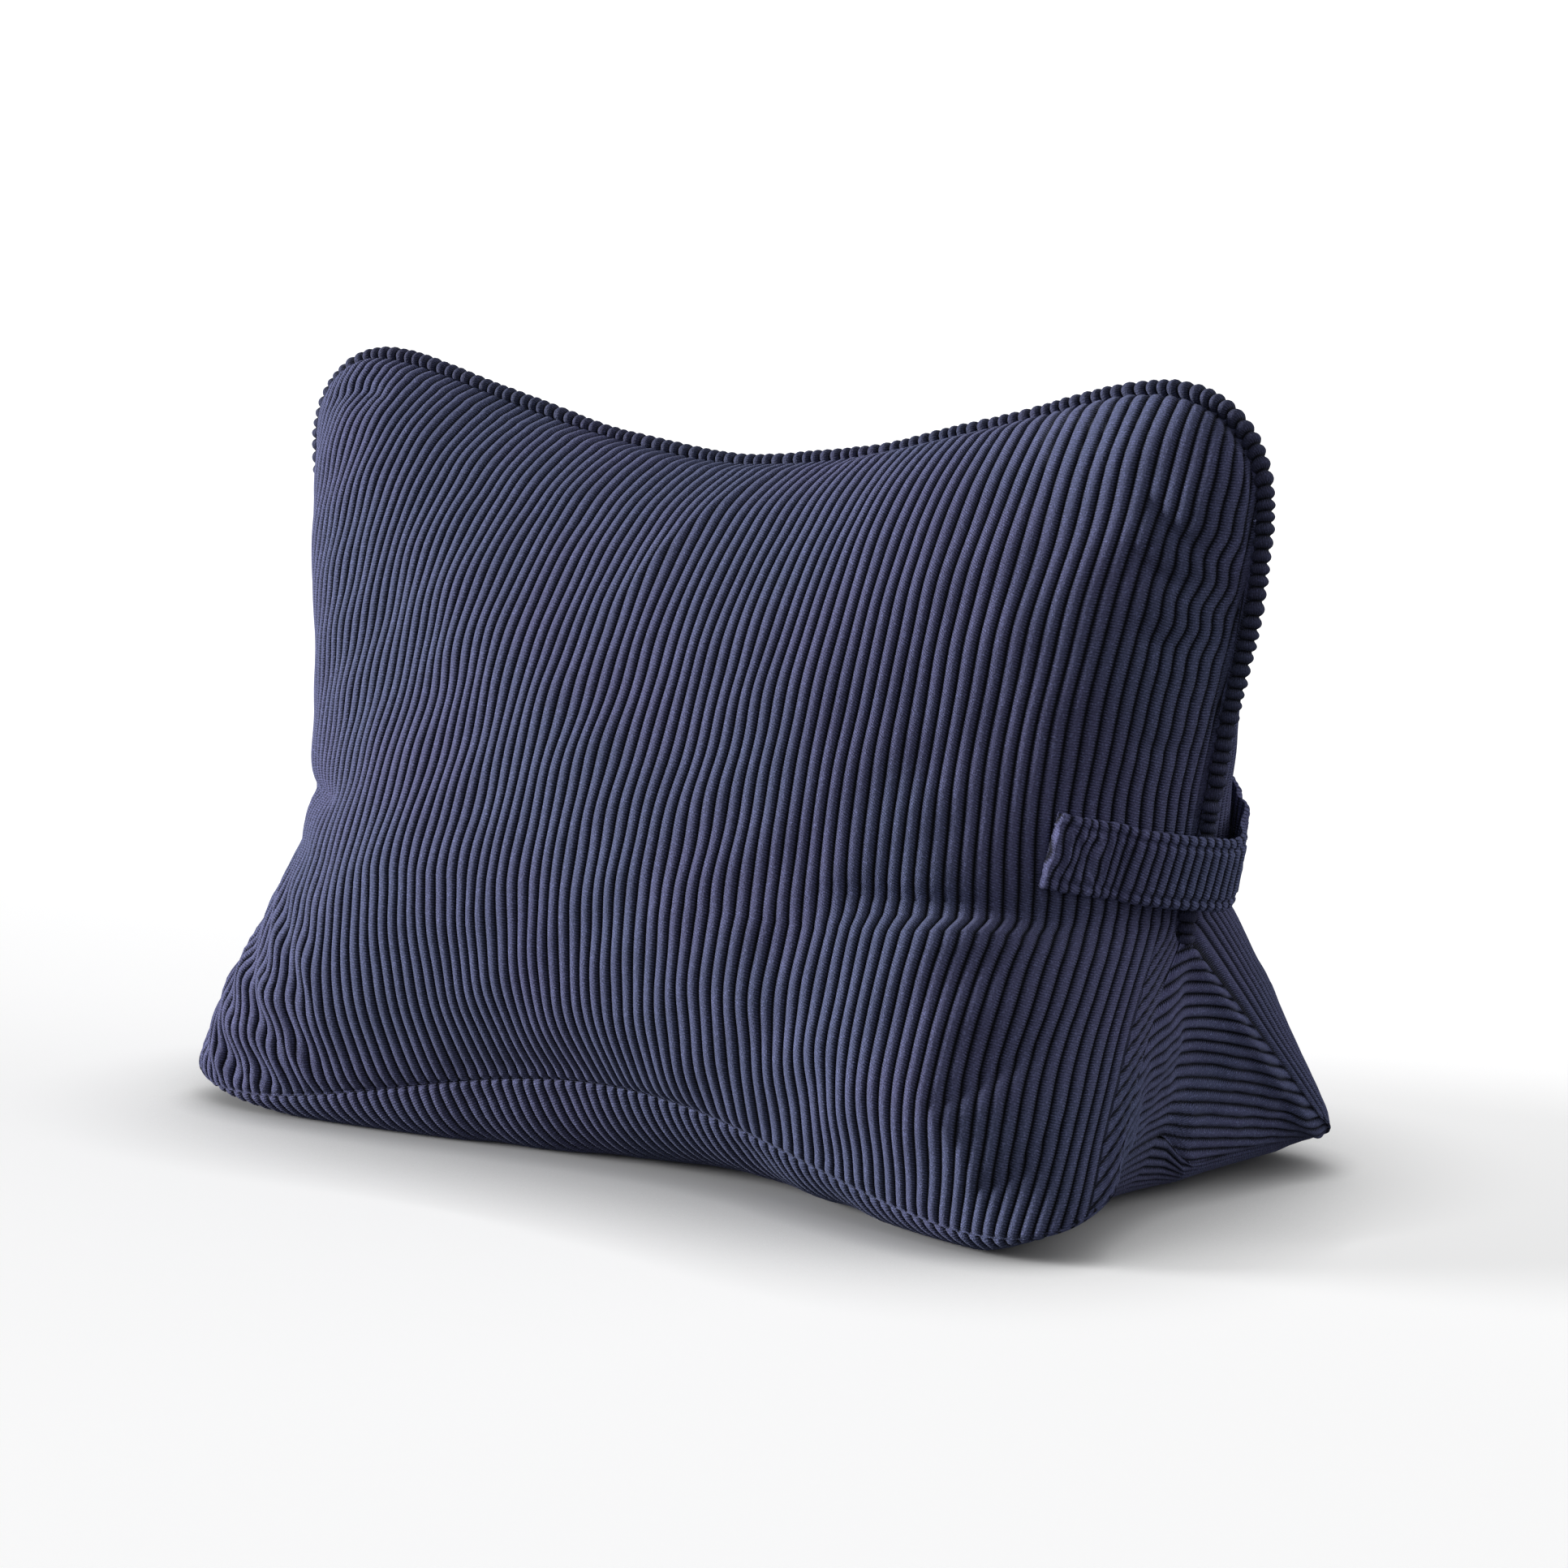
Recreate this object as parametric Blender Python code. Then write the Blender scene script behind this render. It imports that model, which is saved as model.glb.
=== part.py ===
"""Triangle backrest pillow: a filled wedge of corduroy with a flat base, two side gussets,
a corded ridge seam and a loop handle over the right edge. Metres, +Z up, front towards -Y."""

import math

import bmesh
import bpy
import numpy as np

# ---- driving sizes ---------------------------------------------------------------------
CLOTH = .002            # thickness of the base and gusset panels
RECESS = .0034          # how far the filled body is set back under them
APEX_RECESS = .0046     # and in the narrow top of the gussets
TRIM = .0005            # what base and gussets are cut short by where they meet
PIPING_R = .005         # radius of the corded seam
GROOVE_R = .0058        # radius of the groove that it lies in
STRAP_SEAT = .0013      # the strap's edges stand this far off the panel that it is sewn to
STRAP_W, STRAP_T = .041, .0025

# The ridge seam lies in the plane y = 0. It climbs from the gusset's apex, rounds the
# shoulder and dips to the middle of the back rest. Columns: half width x, height z.
RIDGE = (
    (.304, .155), (.311, .190), (.319, .228), (.328, .268), (.337, .307), (.344, .338),
    (.3485, .368), (.350, .388), (.3475, .409), (.338, .429), (.321, .4445), (.298, .452),
    (.270, .4505), (.233, .4425), (.193, .432), (.153, .422), (.110, .412), (.068, .405),
    (.030, .4005), (0, .399),
)
# A row for each level of the front panel, from the base seam (0) to the ridge (1).
# Columns: level, depth of the crown, squareness at the left and the right, edge roundness.
LEVELS = (
    (0, .152, 14, 14, .50), (.05, .1535, 12, 12, .45), (.12, .156, 10, 8, .42),
    (.20, .159, 5.5, 4.0, .39), (.285, .160, 3.7, 2.9, .385), (.37, .1585, 2.8, 2.4, .42),
    (.44, .153, 2.3, 2.2, .44), (.51, .146, 2.1, 2.1, .46), (.60, .134, 2, 2, .47),
    (.675, .1245, 2, 2, .475), (.744, .114, 2, 2, .48), (.816, .099, 2, 2, .49),
    (.888, .078, 2, 2, .50), (.95, .052, 2, 2, .50), (.98, .031, 2, 2, .50),
    (.993, .018, 2, 2, .50), (1, 0, 2, 2, .50),
)
APEX_X, APEX_Z = RIDGE[0]        # top of the side gusset, where the ridge seam starts
SHOULDER_Z = .388                # height of the ridge's widest point
TOE_Z = .036                     # height of each foot's outermost point, the toe
TIP_X, TIP_Z = .314, .010        # where front, gusset and base meet
FOOT_Y = .152                    # the base seam's distance from the ridge plane at the feet
TOE_SPREAD, TOE_REACH = .034, .128    # how far the gusset's edge runs out and forward
ARCH_RISE, ARCH_DRAW = .041, .022     # the base seam between the feet: lifted and drawn in
ARCH_HALF, ARCH_LEVEL = .30, .16
TOE_FROM = .26                   # the seam rises round the toes from here outwards
LEAN = .012                      # the front's ribs lean to the right near the ridge
EAR_SHORT, TOE_LONG = .020, .021 # the left ear is smaller and the left toe longer, as shares
FOLD_X, FOLD_HALF = .235, .095   # a slack fold across the front panel at the lower right
FOLD_TOP, FOLD_FOOT, FOLD_OUT = .172, .050, .013

# The gusset's sunken middle line. Columns: height z, half width x.
VALLEY = (
    (.040, .291), (.059, .295), (.078, .300), (.091, .305), (.102, .3075), (.120, .3085),
    (.147, .3075), (.155, .304),
)
# How the base rolls from its seam to the floor. Columns: x, inward run, outward swell.
ROLL = (
    (-.32, .012, 0), (-.25, .012, .004), (-.14, .014, .005), (-.066, .032, .002),
    (.024, .062, 0), (.054, .068, 0), (.087, .062, 0), (.134, .044, 0), (.20, .026, 0),
    (.28, .018, 0), (.32, .014, 0),
)
# The handle's centre line, from its stitched front end round the ridge to its stitched rear
# end, which is drawn in tighter. Columns: x, y, z; at both ends it lies on the panel.
HANDLE = (
    (.272, -.12, .211), (.280, -.12, .2085), (.288, -.12, .206), (.2945, -.12, .204),
    (.304, -.0545, .201), (.314, -.0420, .198), (.3225, -.0265, .195), (.3275, -.011, .1925),
    (.3288, 0, .191),
    (.3275, .011, .1925), (.3170, .0265, .195), (.3095, .0420, .198), (.3025, .0545, .201),
    (.2945, .12, .204), (.288, .12, .206), (.280, .12, .2085), (.272, .12, .211),
)
ON_PANEL = .1                    # handle stations this far from the ridge lie on the panel
STRAP_LEAN = .20                 # the strap leans out with the ridge, as a slope

# ---- mesh density ----------------------------------------------------------------------
MIDDLE_CELLS, TOE_CELLS = 40, 3  # columns between the tips, and round each toe
LOW_CELLS, HIGH_CELLS = 5, 8     # levels below the gusset's apex, and above the fold
FOLD_LEVEL = .385                # the level that the fold's upper edge lies on
CLOSER = 1.4                     # how much closer the levels are towards the ridge
GUSSET_TOP = .75                 # the gusset's cloth fills this share of its topmost cell
ACROSS = 10                      # cells across base, gussets and the ridge's groove


# ---- curves ----------------------------------------------------------------------------
def through(points, steps):
    """A smooth curve through the points, with `steps` samples between each two."""
    p = np.array(points, float)
    p = np.vstack([2 * p[0] - p[1], p, 2 * p[-1] - p[-2]])
    t = np.linspace(0, 1, steps, endpoint=False)[:, None]
    spans = [
        .5 * (2 * b + (c - a) * t + (2 * a - 5 * b + 4 * c - d) * t**2
              + (3 * b - a - 3 * c + d) * t**3)
        for a, b, c, d in zip(p, p[1:], p[2:], p[3:])
    ]
    return np.vstack(spans + [p[-2:-1]])


def eased(x, xs, ys):
    """A smooth curve through (xs, ys), read at x."""
    xs, ys = np.asarray(xs, float), np.asarray(ys, float)
    slope = np.gradient(ys, xs)
    x = np.clip(x, xs[0], xs[-1])
    i = np.clip(np.searchsorted(xs, x) - 1, 0, len(xs) - 2)
    h = xs[i + 1] - xs[i]
    t = (x - xs[i]) / h
    return (ys[i] * (1 + 2 * t) * (1 - t) ** 2 + ys[i + 1] * t * t * (3 - 2 * t)
            + h * slope[i] * t * (1 - t) ** 2 - h * slope[i + 1] * t * t * (1 - t))


def step(x, low, high):
    """0 below low, 1 above high, smooth between."""
    t = np.clip((x - low) / (high - low), 0, 1)
    return t * t * (3 - 2 * t)


def unit(vectors):
    return vectors / np.linalg.norm(vectors, axis=-1, keepdims=True)


RIDGE_LINE = through(RIDGE, 24)
WIDEST = RIDGE_LINE[:, 0].argmax()
FLANK, CREST = RIDGE_LINE[: WIDEST + 1], RIDGE_LINE[WIDEST:][::-1]


# ---- the cushion's outer surfaces ------------------------------------------------------
def gusset_edge(z):
    """Half width and forward reach of the seam between front panel and gusset."""
    q = np.clip((APEX_Z - z) / (APEX_Z - TIP_Z), 0, 1)
    return APEX_X + TOE_SPREAD * q**1.3, -TOE_REACH * q**.9


def arch(x):
    """1 at the middle of the base seam, 0 at the feet."""
    return np.cos(np.pi / 2 * np.clip(np.abs(x) / ARCH_HALF, 0, 1)) ** 2


def base_seam_z(x, y):
    toe_y = -gusset_edge(TOE_Z)[1]
    toe = np.clip((FOOT_Y - np.abs(y)) / (FOOT_Y - toe_y), 0, 1) * (np.abs(x) > TOE_FROM)
    return TIP_Z + ARCH_RISE * arch(x) + (TOE_Z - TIP_Z) * toe


def panel(across, levels, side=-1):
    """Points of the front panel (side -1) or back panel (+1). `across` runs from -1 at the
    left seam to 1 at the right one, and `levels` from 0 at the base to 1 at the ridge."""
    across, levels = np.asarray(across, float), np.asarray(levels, float)
    table = np.array(LEVELS, float)
    depth, left, right, edge = (eased(levels, table[:, 0], table[:, k]) for k in (1, 2, 3, 4))
    ratio = np.sin(np.linspace(-np.pi / 2, np.pi / 2, 801))
    grid = np.zeros((len(across), len(levels), 3))
    for j, level in enumerate(levels):
        z = TOE_Z + (SHOULDER_Z - TOE_Z) * level
        if z < APEX_Z:
            half, start = gusset_edge(z)
        else:
            half, start = np.interp(z, FLANK[:, 1], FLANK[:, 0]), 0
        square = np.where(ratio < 0, left[j], right[j])
        bulge = np.clip(1 - np.abs(ratio) ** square, 0, 1) ** edge[j]
        x, y = half * ratio, start - (depth[j] + start) * bulge
        run = np.r_[0, np.cumsum(np.hypot(np.diff(x), np.diff(y)))]
        run = run / run[-1] * 2 - 1
        lean = LEAN / half * np.clip((level - .45) / .55, 0, 1) ** 1.5
        at = across + lean * (1 - across * across)
        grid[:, j, 0], grid[:, j, 1] = np.interp(at, run, x), np.interp(at, run, y)
    bottom = base_seam_z(grid[:, 0, 0], grid[:, 0, 1])
    top = np.interp(np.abs(grid[:, -1, 0]), CREST[:, 0], CREST[:, 1])
    top = np.where(np.abs(across) == 1, SHOULDER_Z, top)
    grid[:, :, 2] = bottom[:, None] + (top - bottom)[:, None] * levels
    grid[:, :, 1] += ARCH_DRAW * arch(grid[:, :, 0]) * np.clip(1 - levels / ARCH_LEVEL, 0, 1) ** 2
    if side < 0:
        grid[..., 1] -= fold(grid[..., 0], grid[..., 2]) * step(1 - np.abs(across), 0, .2)[:, None]
    grid[..., 1] *= -side
    return leftward(grid)


def fold(x, z):
    """How far the slack fold stands out: a sharp upper edge that fades downwards."""
    near = np.clip(1 - ((x - FOLD_X) / FOLD_HALF) ** 2, 0, 1) ** 1.5
    above = 1 - step(z, FOLD_TOP - .016, FOLD_TOP + .004)
    return FOLD_OUT * near * above * step(z, FOLD_FOOT - .03, FOLD_FOOT + .05)


def leftward(points):
    """The left side differs a little from the right: a smaller ear and a longer toe."""
    x, z = points[..., 0], points[..., 2]
    share = (1 - EAR_SHORT * step(z, .22, .38)) * (1 + TOE_LONG * (1 - step(z, .02, .16)))
    points[..., 0] = np.where(x < 0, x * share, x)
    return points


def gusset(side, edge):
    """Rows of points across one gusset, from its base seam to its apex. `edge` is its front
    seam; the back seam mirrors it. The back half hangs down to the base."""
    reach = np.r_[0, np.cumsum(np.linalg.norm(np.diff(edge, axis=0), axis=1))]
    share = reach / reach[-1]
    table = np.array(VALLEY)
    valley_z = table[0, 0] + (APEX_Z - table[0, 0]) * share
    valley_x = side * eased(valley_z, table[:, 0], table[:, 1])
    t = np.linspace(-1, 1, ACROSS + 1)
    sink = 1 - np.abs(t) ** 1.6
    drop = 1 - step(t, -.02, .22) * (1 - step(share, 0, .45))[:, None]
    grid = np.zeros((len(edge), len(t), 3))
    grid[..., 0] = edge[:, None, 0] + (valley_x - edge[:, 0])[:, None] * sink
    grid[..., 1] = -edge[:, None, 1] * t
    grid[..., 2] = edge[:, None, 2] + (valley_z - edge[:, 2])[:, None] * sink * drop
    return grid


def base(seam, ends):
    """The base panel from the front seam to the back one: it rolls under to lie flat on the
    floor. `ends` holds the lowest rows of the left and right gussets."""
    table = np.array(ROLL)
    t = np.linspace(-1, 1, ACROSS + 1)
    turn = np.pi / 2 * np.clip((1 - np.abs(t)) / .6, 0, 1)
    flat = np.clip((.4 - np.abs(t)) / .4, 0, 1)
    roll, swell = (eased(seam[:, 0], table[:, 0], table[:, k])[:, None] for k in (1, 2))
    reach = np.abs(seam[:, 1:2])
    inward = roll * (1 - np.cos(turn)) - swell * np.sin(2 * turn) + (reach - roll) * flat
    grid = np.zeros((len(seam), len(t), 3))
    grid[..., 0] = seam[:, :1]
    grid[..., 1] = np.sign(t) * (reach - inward)
    grid[..., 2] = seam[:, 2:] * (1 - np.sin(turn))
    for row, index in zip(ends, (0, -1)):
        corner = seam[index, 0]
        near = np.clip((seam[:, :1] / corner - .72) / .28, 0, 1)
        grid[..., 1] += (reach * t - grid[..., 1]) * near
        lift = np.interp(grid[..., 1], row[:, 1], row[:, 2])
        shift = np.interp(grid[..., 1], row[:, 1], row[:, 0]) - corner
        grid[..., 2] = np.maximum(grid[..., 2], lift * near**2)
        grid[..., 0] += shift * near**1.5
        grid[index] = row
    return grid


def normals(grid):
    """Unit normals of a grid of points, along (next row) x (next column). A last row that
    shrinks to a point takes the normals of the row before."""
    across = np.cross(np.gradient(grid, axis=0), np.gradient(grid, axis=1))
    if np.ptp(grid[-1], axis=0).max() < .001:
        across[-1] = across[-2]
    return unit(across)


def inward_normals(side):
    """Unit normals of a gusset's grid that point into the cushion."""
    n = normals(side)
    row, column = side.shape[0] // 2, side.shape[1] // 2
    return n * -np.sign(n[row, column, 0] * side[row, column, 0])


def mitre(a, b):
    """The offset that lies one unit inside two faces with inward normals a and b."""
    return (a + b) / (1 + (a * b).sum(-1, keepdims=True))


# ---- the shared layout -----------------------------------------------------------------
def columns():
    """Positions across the front panel, with one on each tip."""
    fine = np.linspace(-1, 1, 4001)
    seam_x = panel(fine, [0])[:, 0, 0]
    left, right = np.interp((-TIP_X, TIP_X), seam_x, fine)
    return np.r_[np.linspace(-1, left, TOE_CELLS + 1)[:-1],
                 np.linspace(left, right, MIDDLE_CELLS + 1),
                 np.linspace(right, 1, TOE_CELLS + 1)[1:]]


def layout():
    """The five outer surfaces, as grids that share their nodes along every seam."""
    apex = (APEX_Z - TOE_Z) / (SHOULDER_Z - TOE_Z)
    high = 1 - (1 - FOLD_LEVEL) * np.linspace(1, 0, HIGH_CELLS + 1) ** CLOSER
    levels = np.r_[np.linspace(0, apex, LOW_CELLS + 1), high]
    front, back = (panel(columns(), levels, side) for side in (-1, 1))
    right = np.vstack([front[-1 - TOE_CELLS:, 0], front[-1, 1: LOW_CELLS + 1]])
    left = np.vstack([front[TOE_CELLS::-1, 0], front[0, 1: LOW_CELLS + 1]])
    sides = gusset(-1, left), gusset(1, right)
    under = base(front[TOE_CELLS: -TOE_CELLS, 0], (sides[0][0], sides[1][0]))
    return front, back, sides, under


def ridge_stations(front):
    """The ridge nodes from the left apex over the top to the right apex, each with the node
    of the front panel next to it."""
    last = front.shape[0] - 1
    at = [(0, j, 1, j) for j in range(LOW_CELLS, front.shape[1] - 1)]
    at += [(i, -1, min(max(i, 1), last - 1), -2) for i in range(last + 1)]
    at += [(last, j, last - 1, j) for j in range(front.shape[1] - 2, LOW_CELLS - 1, -1)]
    nodes = np.array([front[i, j] for i, j, _, _ in at])
    beside = np.array([front[i, j] for _, _, i, j in at])
    return at, nodes, beside


def groove(nodes, beside):
    """The channel that the piping lies in: an arc round each ridge node, front to back."""
    along = unit(np.gradient(nodes, axis=0))
    inward = np.stack([along[:, 2], 0 * along[:, 0], -along[:, 0]], axis=-1)
    out = beside - nodes
    opening = np.arctan2(-out[:, 1], (out * inward).sum(-1))
    radius = GROOVE_R / np.cos(opening / ACROSS)
    angle = opening[:, None] * np.linspace(-1, 1, ACROSS + 1)
    radial = np.cos(angle)[..., None] * inward[:, None] + np.sin(angle)[..., None] * (0, 1, 0)
    return nodes[:, None] + radius[:, None, None] * radial


# ---- building blocks for meshes --------------------------------------------------------
def grid_quads(grid):
    """The corners of each cell of a grid."""
    return np.stack([grid[:-1, :-1], grid[1:, :-1], grid[1:, 1:], grid[:-1, 1:]], 2).reshape(-1, 4, 3)


def solid(name, quads, material):
    """One closed object from loose quads whose corners coincide."""
    mesh = bpy.data.meshes.new(name)
    corners = np.concatenate(quads)
    mesh.from_pydata(corners.reshape(-1, 3).tolist(), [],
                     np.arange(len(corners) * 4).reshape(-1, 4).tolist())
    shape = bmesh.new()
    shape.from_mesh(mesh)
    bmesh.ops.remove_doubles(shape, verts=shape.verts, dist=1e-6)
    bmesh.ops.dissolve_degenerate(shape, edges=shape.edges, dist=1e-6)
    bmesh.ops.recalc_face_normals(shape, faces=shape.faces)
    shape.to_mesh(mesh)
    shape.free()
    mesh.shade_smooth()
    mesh.set_sharp_from_angle(angle=math.radians(50))
    mesh.materials.append(material)
    thing = bpy.data.objects.new(name, mesh)
    bpy.context.collection.objects.link(thing)
    return thing


def slab(name, outer, inner, material):
    """A thin closed sheet between two grids of the same layout."""
    rims = [np.stack([outer[edge], inner[edge]]) for edge in
            ((0,), (-1,), (slice(None), 0), (slice(None), -1))]
    return solid(name, [grid_quads(g) for g in (outer, inner, *rims)], material)


def corduroy(name, colour, roughness=.9):
    material = bpy.data.materials.new(name)
    material.use_nodes = True
    shader = material.node_tree.nodes["Principled BSDF"]
    shader.inputs["Base Color"].default_value = (*colour, 1)
    shader.inputs["Roughness"].default_value = roughness
    shader.inputs["Metallic"].default_value = 0
    return material


# ---- the pieces ------------------------------------------------------------------------
def inset_nodes(points, inside, normal):
    """Seam nodes of the body, moved in so that a sheet of cloth fits over the next face."""
    way = unit(unit(inside - points) + normal)
    return points + RECESS * way / (way * normal).sum(-1, keepdims=True)


def cushion_body(front, back, sides, under, material):
    """The filled wedge. Its front and back faces are the two big panels. It is set back
    under the base and the gussets, and grooved along the ridge."""
    up = normals(under)
    inward = [inward_normals(side) for side in sides]
    at, nodes, beside = ridge_stations(front)
    channel = groove(nodes, beside)
    faces = []
    for face, end in ((front, 0), (back, -1)):
        face = face.copy()
        middle = slice(TOE_CELLS, face.shape[0] - TOE_CELLS)
        shrunk = face.copy()
        shrunk[middle, 0] = inset_nodes(face[middle, 0], face[middle, 1], up[:, end])
        for column, inner, n, row in ((0, 1, inward[0], 0), (-1, -2, inward[1], -1)):
            toes = range(TOE_CELLS, -1, -1) if column == 0 else range(-1 - TOE_CELLS, 0)
            for k, i in enumerate(toes):
                beyond = face[inner, 1] if k == TOE_CELLS else face[i, 1]
                shrunk[i, 0] = inset_nodes(face[i, 0], beyond, n[k, end])
            tip = toes[0]
            shrunk[tip, 0] = face[tip, 0] + RECESS * mitre(up[row, end], n[0, end])
            for j in range(1, LOW_CELLS):
                shrunk[column, j] = inset_nodes(face[column, j], face[inner, j], n[TOE_CELLS + j, end])
        for (i, j, _, _), arc in zip(at, channel):
            shrunk[i, j] = arc[end]
        faces.append(shrunk)
    bottom = under + RECESS * up
    flanks = []
    for column, n, side, row in ((0, inward[0], sides[0], 0), (-1, inward[1], sides[1], -1)):
        flank = side + RECESS * n
        flank[0] = side[0] + RECESS * mitre(up[row], n[0])
        flank[-2] = side[-2] + APEX_RECESS * n[-2]
        for face, end in zip(faces, (0, -1)):
            toes = face[TOE_CELLS::-1, 0] if column == 0 else face[-1 - TOE_CELLS:, 0]
            flank[:, end] = np.vstack([toes, face[column, 1: LOW_CELLS + 1]])
        flank[-1] = channel[0 if column == 0 else -1]
        flanks.append(flank)
        bottom[row] = flank[0]
    bottom[:, 0], bottom[:, -1] = (f[TOE_CELLS: -TOE_CELLS, 0] for f in faces)
    return solid("cushion_body", [grid_quads(g) for g in (*faces, bottom, *flanks, channel)], material)


def base_panel(sides, under, material):
    """The cloth that the cushion stands on."""
    up = normals(under)
    outer, inner = under.copy(), under + CLOTH * up
    for row, nearer, side in ((0, 1, sides[0]), (-1, -2, sides[1])):
        n = inward_normals(side)[0]
        trim = TRIM * unit(under[nearer] - under[row])
        outer[row] = under[row] + trim
        inner[row] = under[row] + CLOTH * mitre(up[row], n) + trim
    return slab("base_panel", outer, inner, material)


def gusset_panel(name, side, under_row, under_up, material):
    """One side gusset, from the base seam up to just below the end of the piping."""
    n = inward_normals(side)
    side = side.copy()
    side[-1] = side[-2] + GUSSET_TOP * (side[-1] - side[-2])
    n[-1] = n[-2]
    outer, inner = side.copy(), side + CLOTH * n
    trim = TRIM * unit(side[1] - side[0])
    outer[0] = side[0] + trim
    inner[0] = under_row + CLOTH * mitre(under_up, n[0]) + trim
    return slab(name, outer, inner, material)


def piping(nodes, material):
    """The corded seam along the ridge."""
    curve = bpy.data.curves.new("piping", "CURVE")
    curve.dimensions = "3D"
    curve.bevel_depth = PIPING_R
    curve.bevel_resolution = 2
    curve.use_fill_caps = True
    spline = curve.splines.new("POLY")
    spline.points.add(len(nodes) - 1)
    for point, node in zip(spline.points, nodes):
        point.co = (*node, 1)
    curve.materials.append(material)
    thing = bpy.data.objects.new("piping", curve)
    bpy.context.collection.objects.link(thing)
    return thing


def front_y(places):
    """Where the front panel lies behind each of the places, on its right half."""
    grid = panel(np.linspace(.3, 1, 240), np.linspace(.2, .7, 120))
    found = []
    for x, _, z in places:
        at_z = [[np.interp(z, column[:, 2], column[:, k]) for k in (0, 1)] for column in grid]
        found.append(np.interp(x, *np.array(at_z).T))
    return np.array(found)


def handle(material):
    """A flat strap, stitched down on both panels, that stands off the ridge as a loop."""
    lean = np.array([STRAP_LEAN, 0, 1]) / math.hypot(STRAP_LEAN, 1) * STRAP_W / 2
    route = np.array(HANDLE)
    lies = np.abs(route[:, 1]) > ON_PANEL
    route[lies, 1] = -np.sign(route[lies, 1]) * front_y(route[lies])
    centre = through(route, 3)
    low, high = centre - lean, centre + lean
    under = [-front_y(line) for line in (low, centre, high)]
    crown = np.maximum(0, under[1] - (under[0] + under[2]) / 2)
    for edge, least in ((low, under[0]), (high, under[2])):
        edge[:, 1] = np.sign(edge[:, 1]) * np.maximum(np.abs(edge[:, 1]), least + crown + STRAP_SEAT)
    inner = np.stack([low, high], axis=1)
    outward = unit(np.cross(np.gradient(inner[:, 0], axis=0), inner[:, 1] - inner[:, 0]))
    outward = outward * np.sign(outward[len(outward) // 2, 0])
    return slab("handle", inner + STRAP_T * outward[:, None], inner, material)


# ---- the model -------------------------------------------------------------------------
def main():
    for thing in list(bpy.data.objects):
        bpy.data.objects.remove(thing)
    front, back, sides, under = layout()
    cushion_body(front, back, sides, under, corduroy("Corduroy", (.105, .110, .165)))
    base_panel(sides, under, corduroy("CorduroyBase", (.09, .095, .145)))
    up = normals(under)
    for name, side, row in (("gusset_left", sides[0], 0), ("gusset_right", sides[1], -1)):
        gusset_panel(name, side, under[row], up[row], corduroy("Corduroy_" + name, (.10, .105, .155)))
    piping(ridge_stations(front)[1], corduroy("CorduroyPiping", (.10, .105, .16)))
    handle(corduroy("CorduroyHandle", (.10, .105, .16)))


main()
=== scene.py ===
"""Looks of the triangle backrest pillow: ribbed corduroy panels with real ribs, a corded
ridge seam, folds, a stitched strap, and the light of a product photograph. Metres, +Z up."""

import math

import bpy
import numpy as np
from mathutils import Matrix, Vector
from mathutils.kdtree import KDTree


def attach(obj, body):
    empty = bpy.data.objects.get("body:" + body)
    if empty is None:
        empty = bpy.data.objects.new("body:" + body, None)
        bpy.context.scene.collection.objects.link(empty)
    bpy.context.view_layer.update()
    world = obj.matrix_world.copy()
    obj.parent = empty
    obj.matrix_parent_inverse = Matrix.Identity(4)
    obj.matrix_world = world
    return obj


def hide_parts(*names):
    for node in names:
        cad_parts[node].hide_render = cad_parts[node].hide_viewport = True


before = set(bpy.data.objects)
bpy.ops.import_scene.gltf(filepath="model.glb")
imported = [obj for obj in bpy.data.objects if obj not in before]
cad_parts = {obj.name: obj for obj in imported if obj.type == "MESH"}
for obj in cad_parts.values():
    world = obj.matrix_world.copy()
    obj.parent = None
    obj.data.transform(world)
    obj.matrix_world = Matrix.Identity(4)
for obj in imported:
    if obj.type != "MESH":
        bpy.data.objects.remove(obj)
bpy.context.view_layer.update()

# ---- the cushion's shape, as in the CAD model --------------------------------------------
# The ridge seam, in the plane y = 0. Columns: half width x, height z.
RIDGE = (
    (.304, .155), (.311, .190), (.319, .228), (.328, .268), (.337, .307), (.344, .338),
    (.3485, .368), (.350, .388), (.3475, .409), (.338, .429), (.321, .4445), (.298, .452),
    (.270, .4505), (.233, .4425), (.193, .432), (.153, .422), (.110, .412), (.068, .405),
    (.030, .4005), (0, .399),
)
# Columns: level, depth of the crown, squareness at the left and the right, edge roundness.
LEVELS = np.array((
    (0, .152, 14, 14, .50), (.05, .1535, 12, 12, .45), (.12, .156, 10, 8, .42),
    (.20, .159, 5.5, 4.0, .39), (.285, .160, 3.7, 2.9, .385), (.37, .1585, 2.8, 2.4, .42),
    (.44, .153, 2.3, 2.2, .44), (.51, .146, 2.1, 2.1, .46), (.60, .134, 2, 2, .47),
    (.675, .1245, 2, 2, .475), (.744, .114, 2, 2, .48), (.816, .099, 2, 2, .49),
    (.888, .078, 2, 2, .50), (.95, .052, 2, 2, .50), (.98, .031, 2, 2, .50),
    (.993, .018, 2, 2, .50), (1, 0, 2, 2, .50),
))
APEX_X, APEX_Z = RIDGE[0]             # top of a gusset, where the ridge seam begins
SHOULDER_Z, TOE_Z = .388, .036        # widest place of the ridge; foot of the gusset seam
TIP_X, TIP_Z = .314, .010             # where base, gusset and panel meet
FOOT_Y = .152
TOE_SPREAD, TOE_REACH = .034, .128    # the gusset seam's run outwards and forwards
SPREAD_CURVE, REACH_CURVE = 1.3, .9   # and how each grows from the apex down
ARCH_RISE, ARCH_DRAW = .041, .022     # the base seam's rise at its middle, and its way back
ARCH_HALF, ARCH_LEVEL = .30, .16
TOE_FROM = .26                        # from this x outwards the base seam climbs to the toe
LEAN, LEAN_FROM, LEAN_CURVE = .012, .45, 1.5    # the ribs' lean to the right near the ridge
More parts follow.
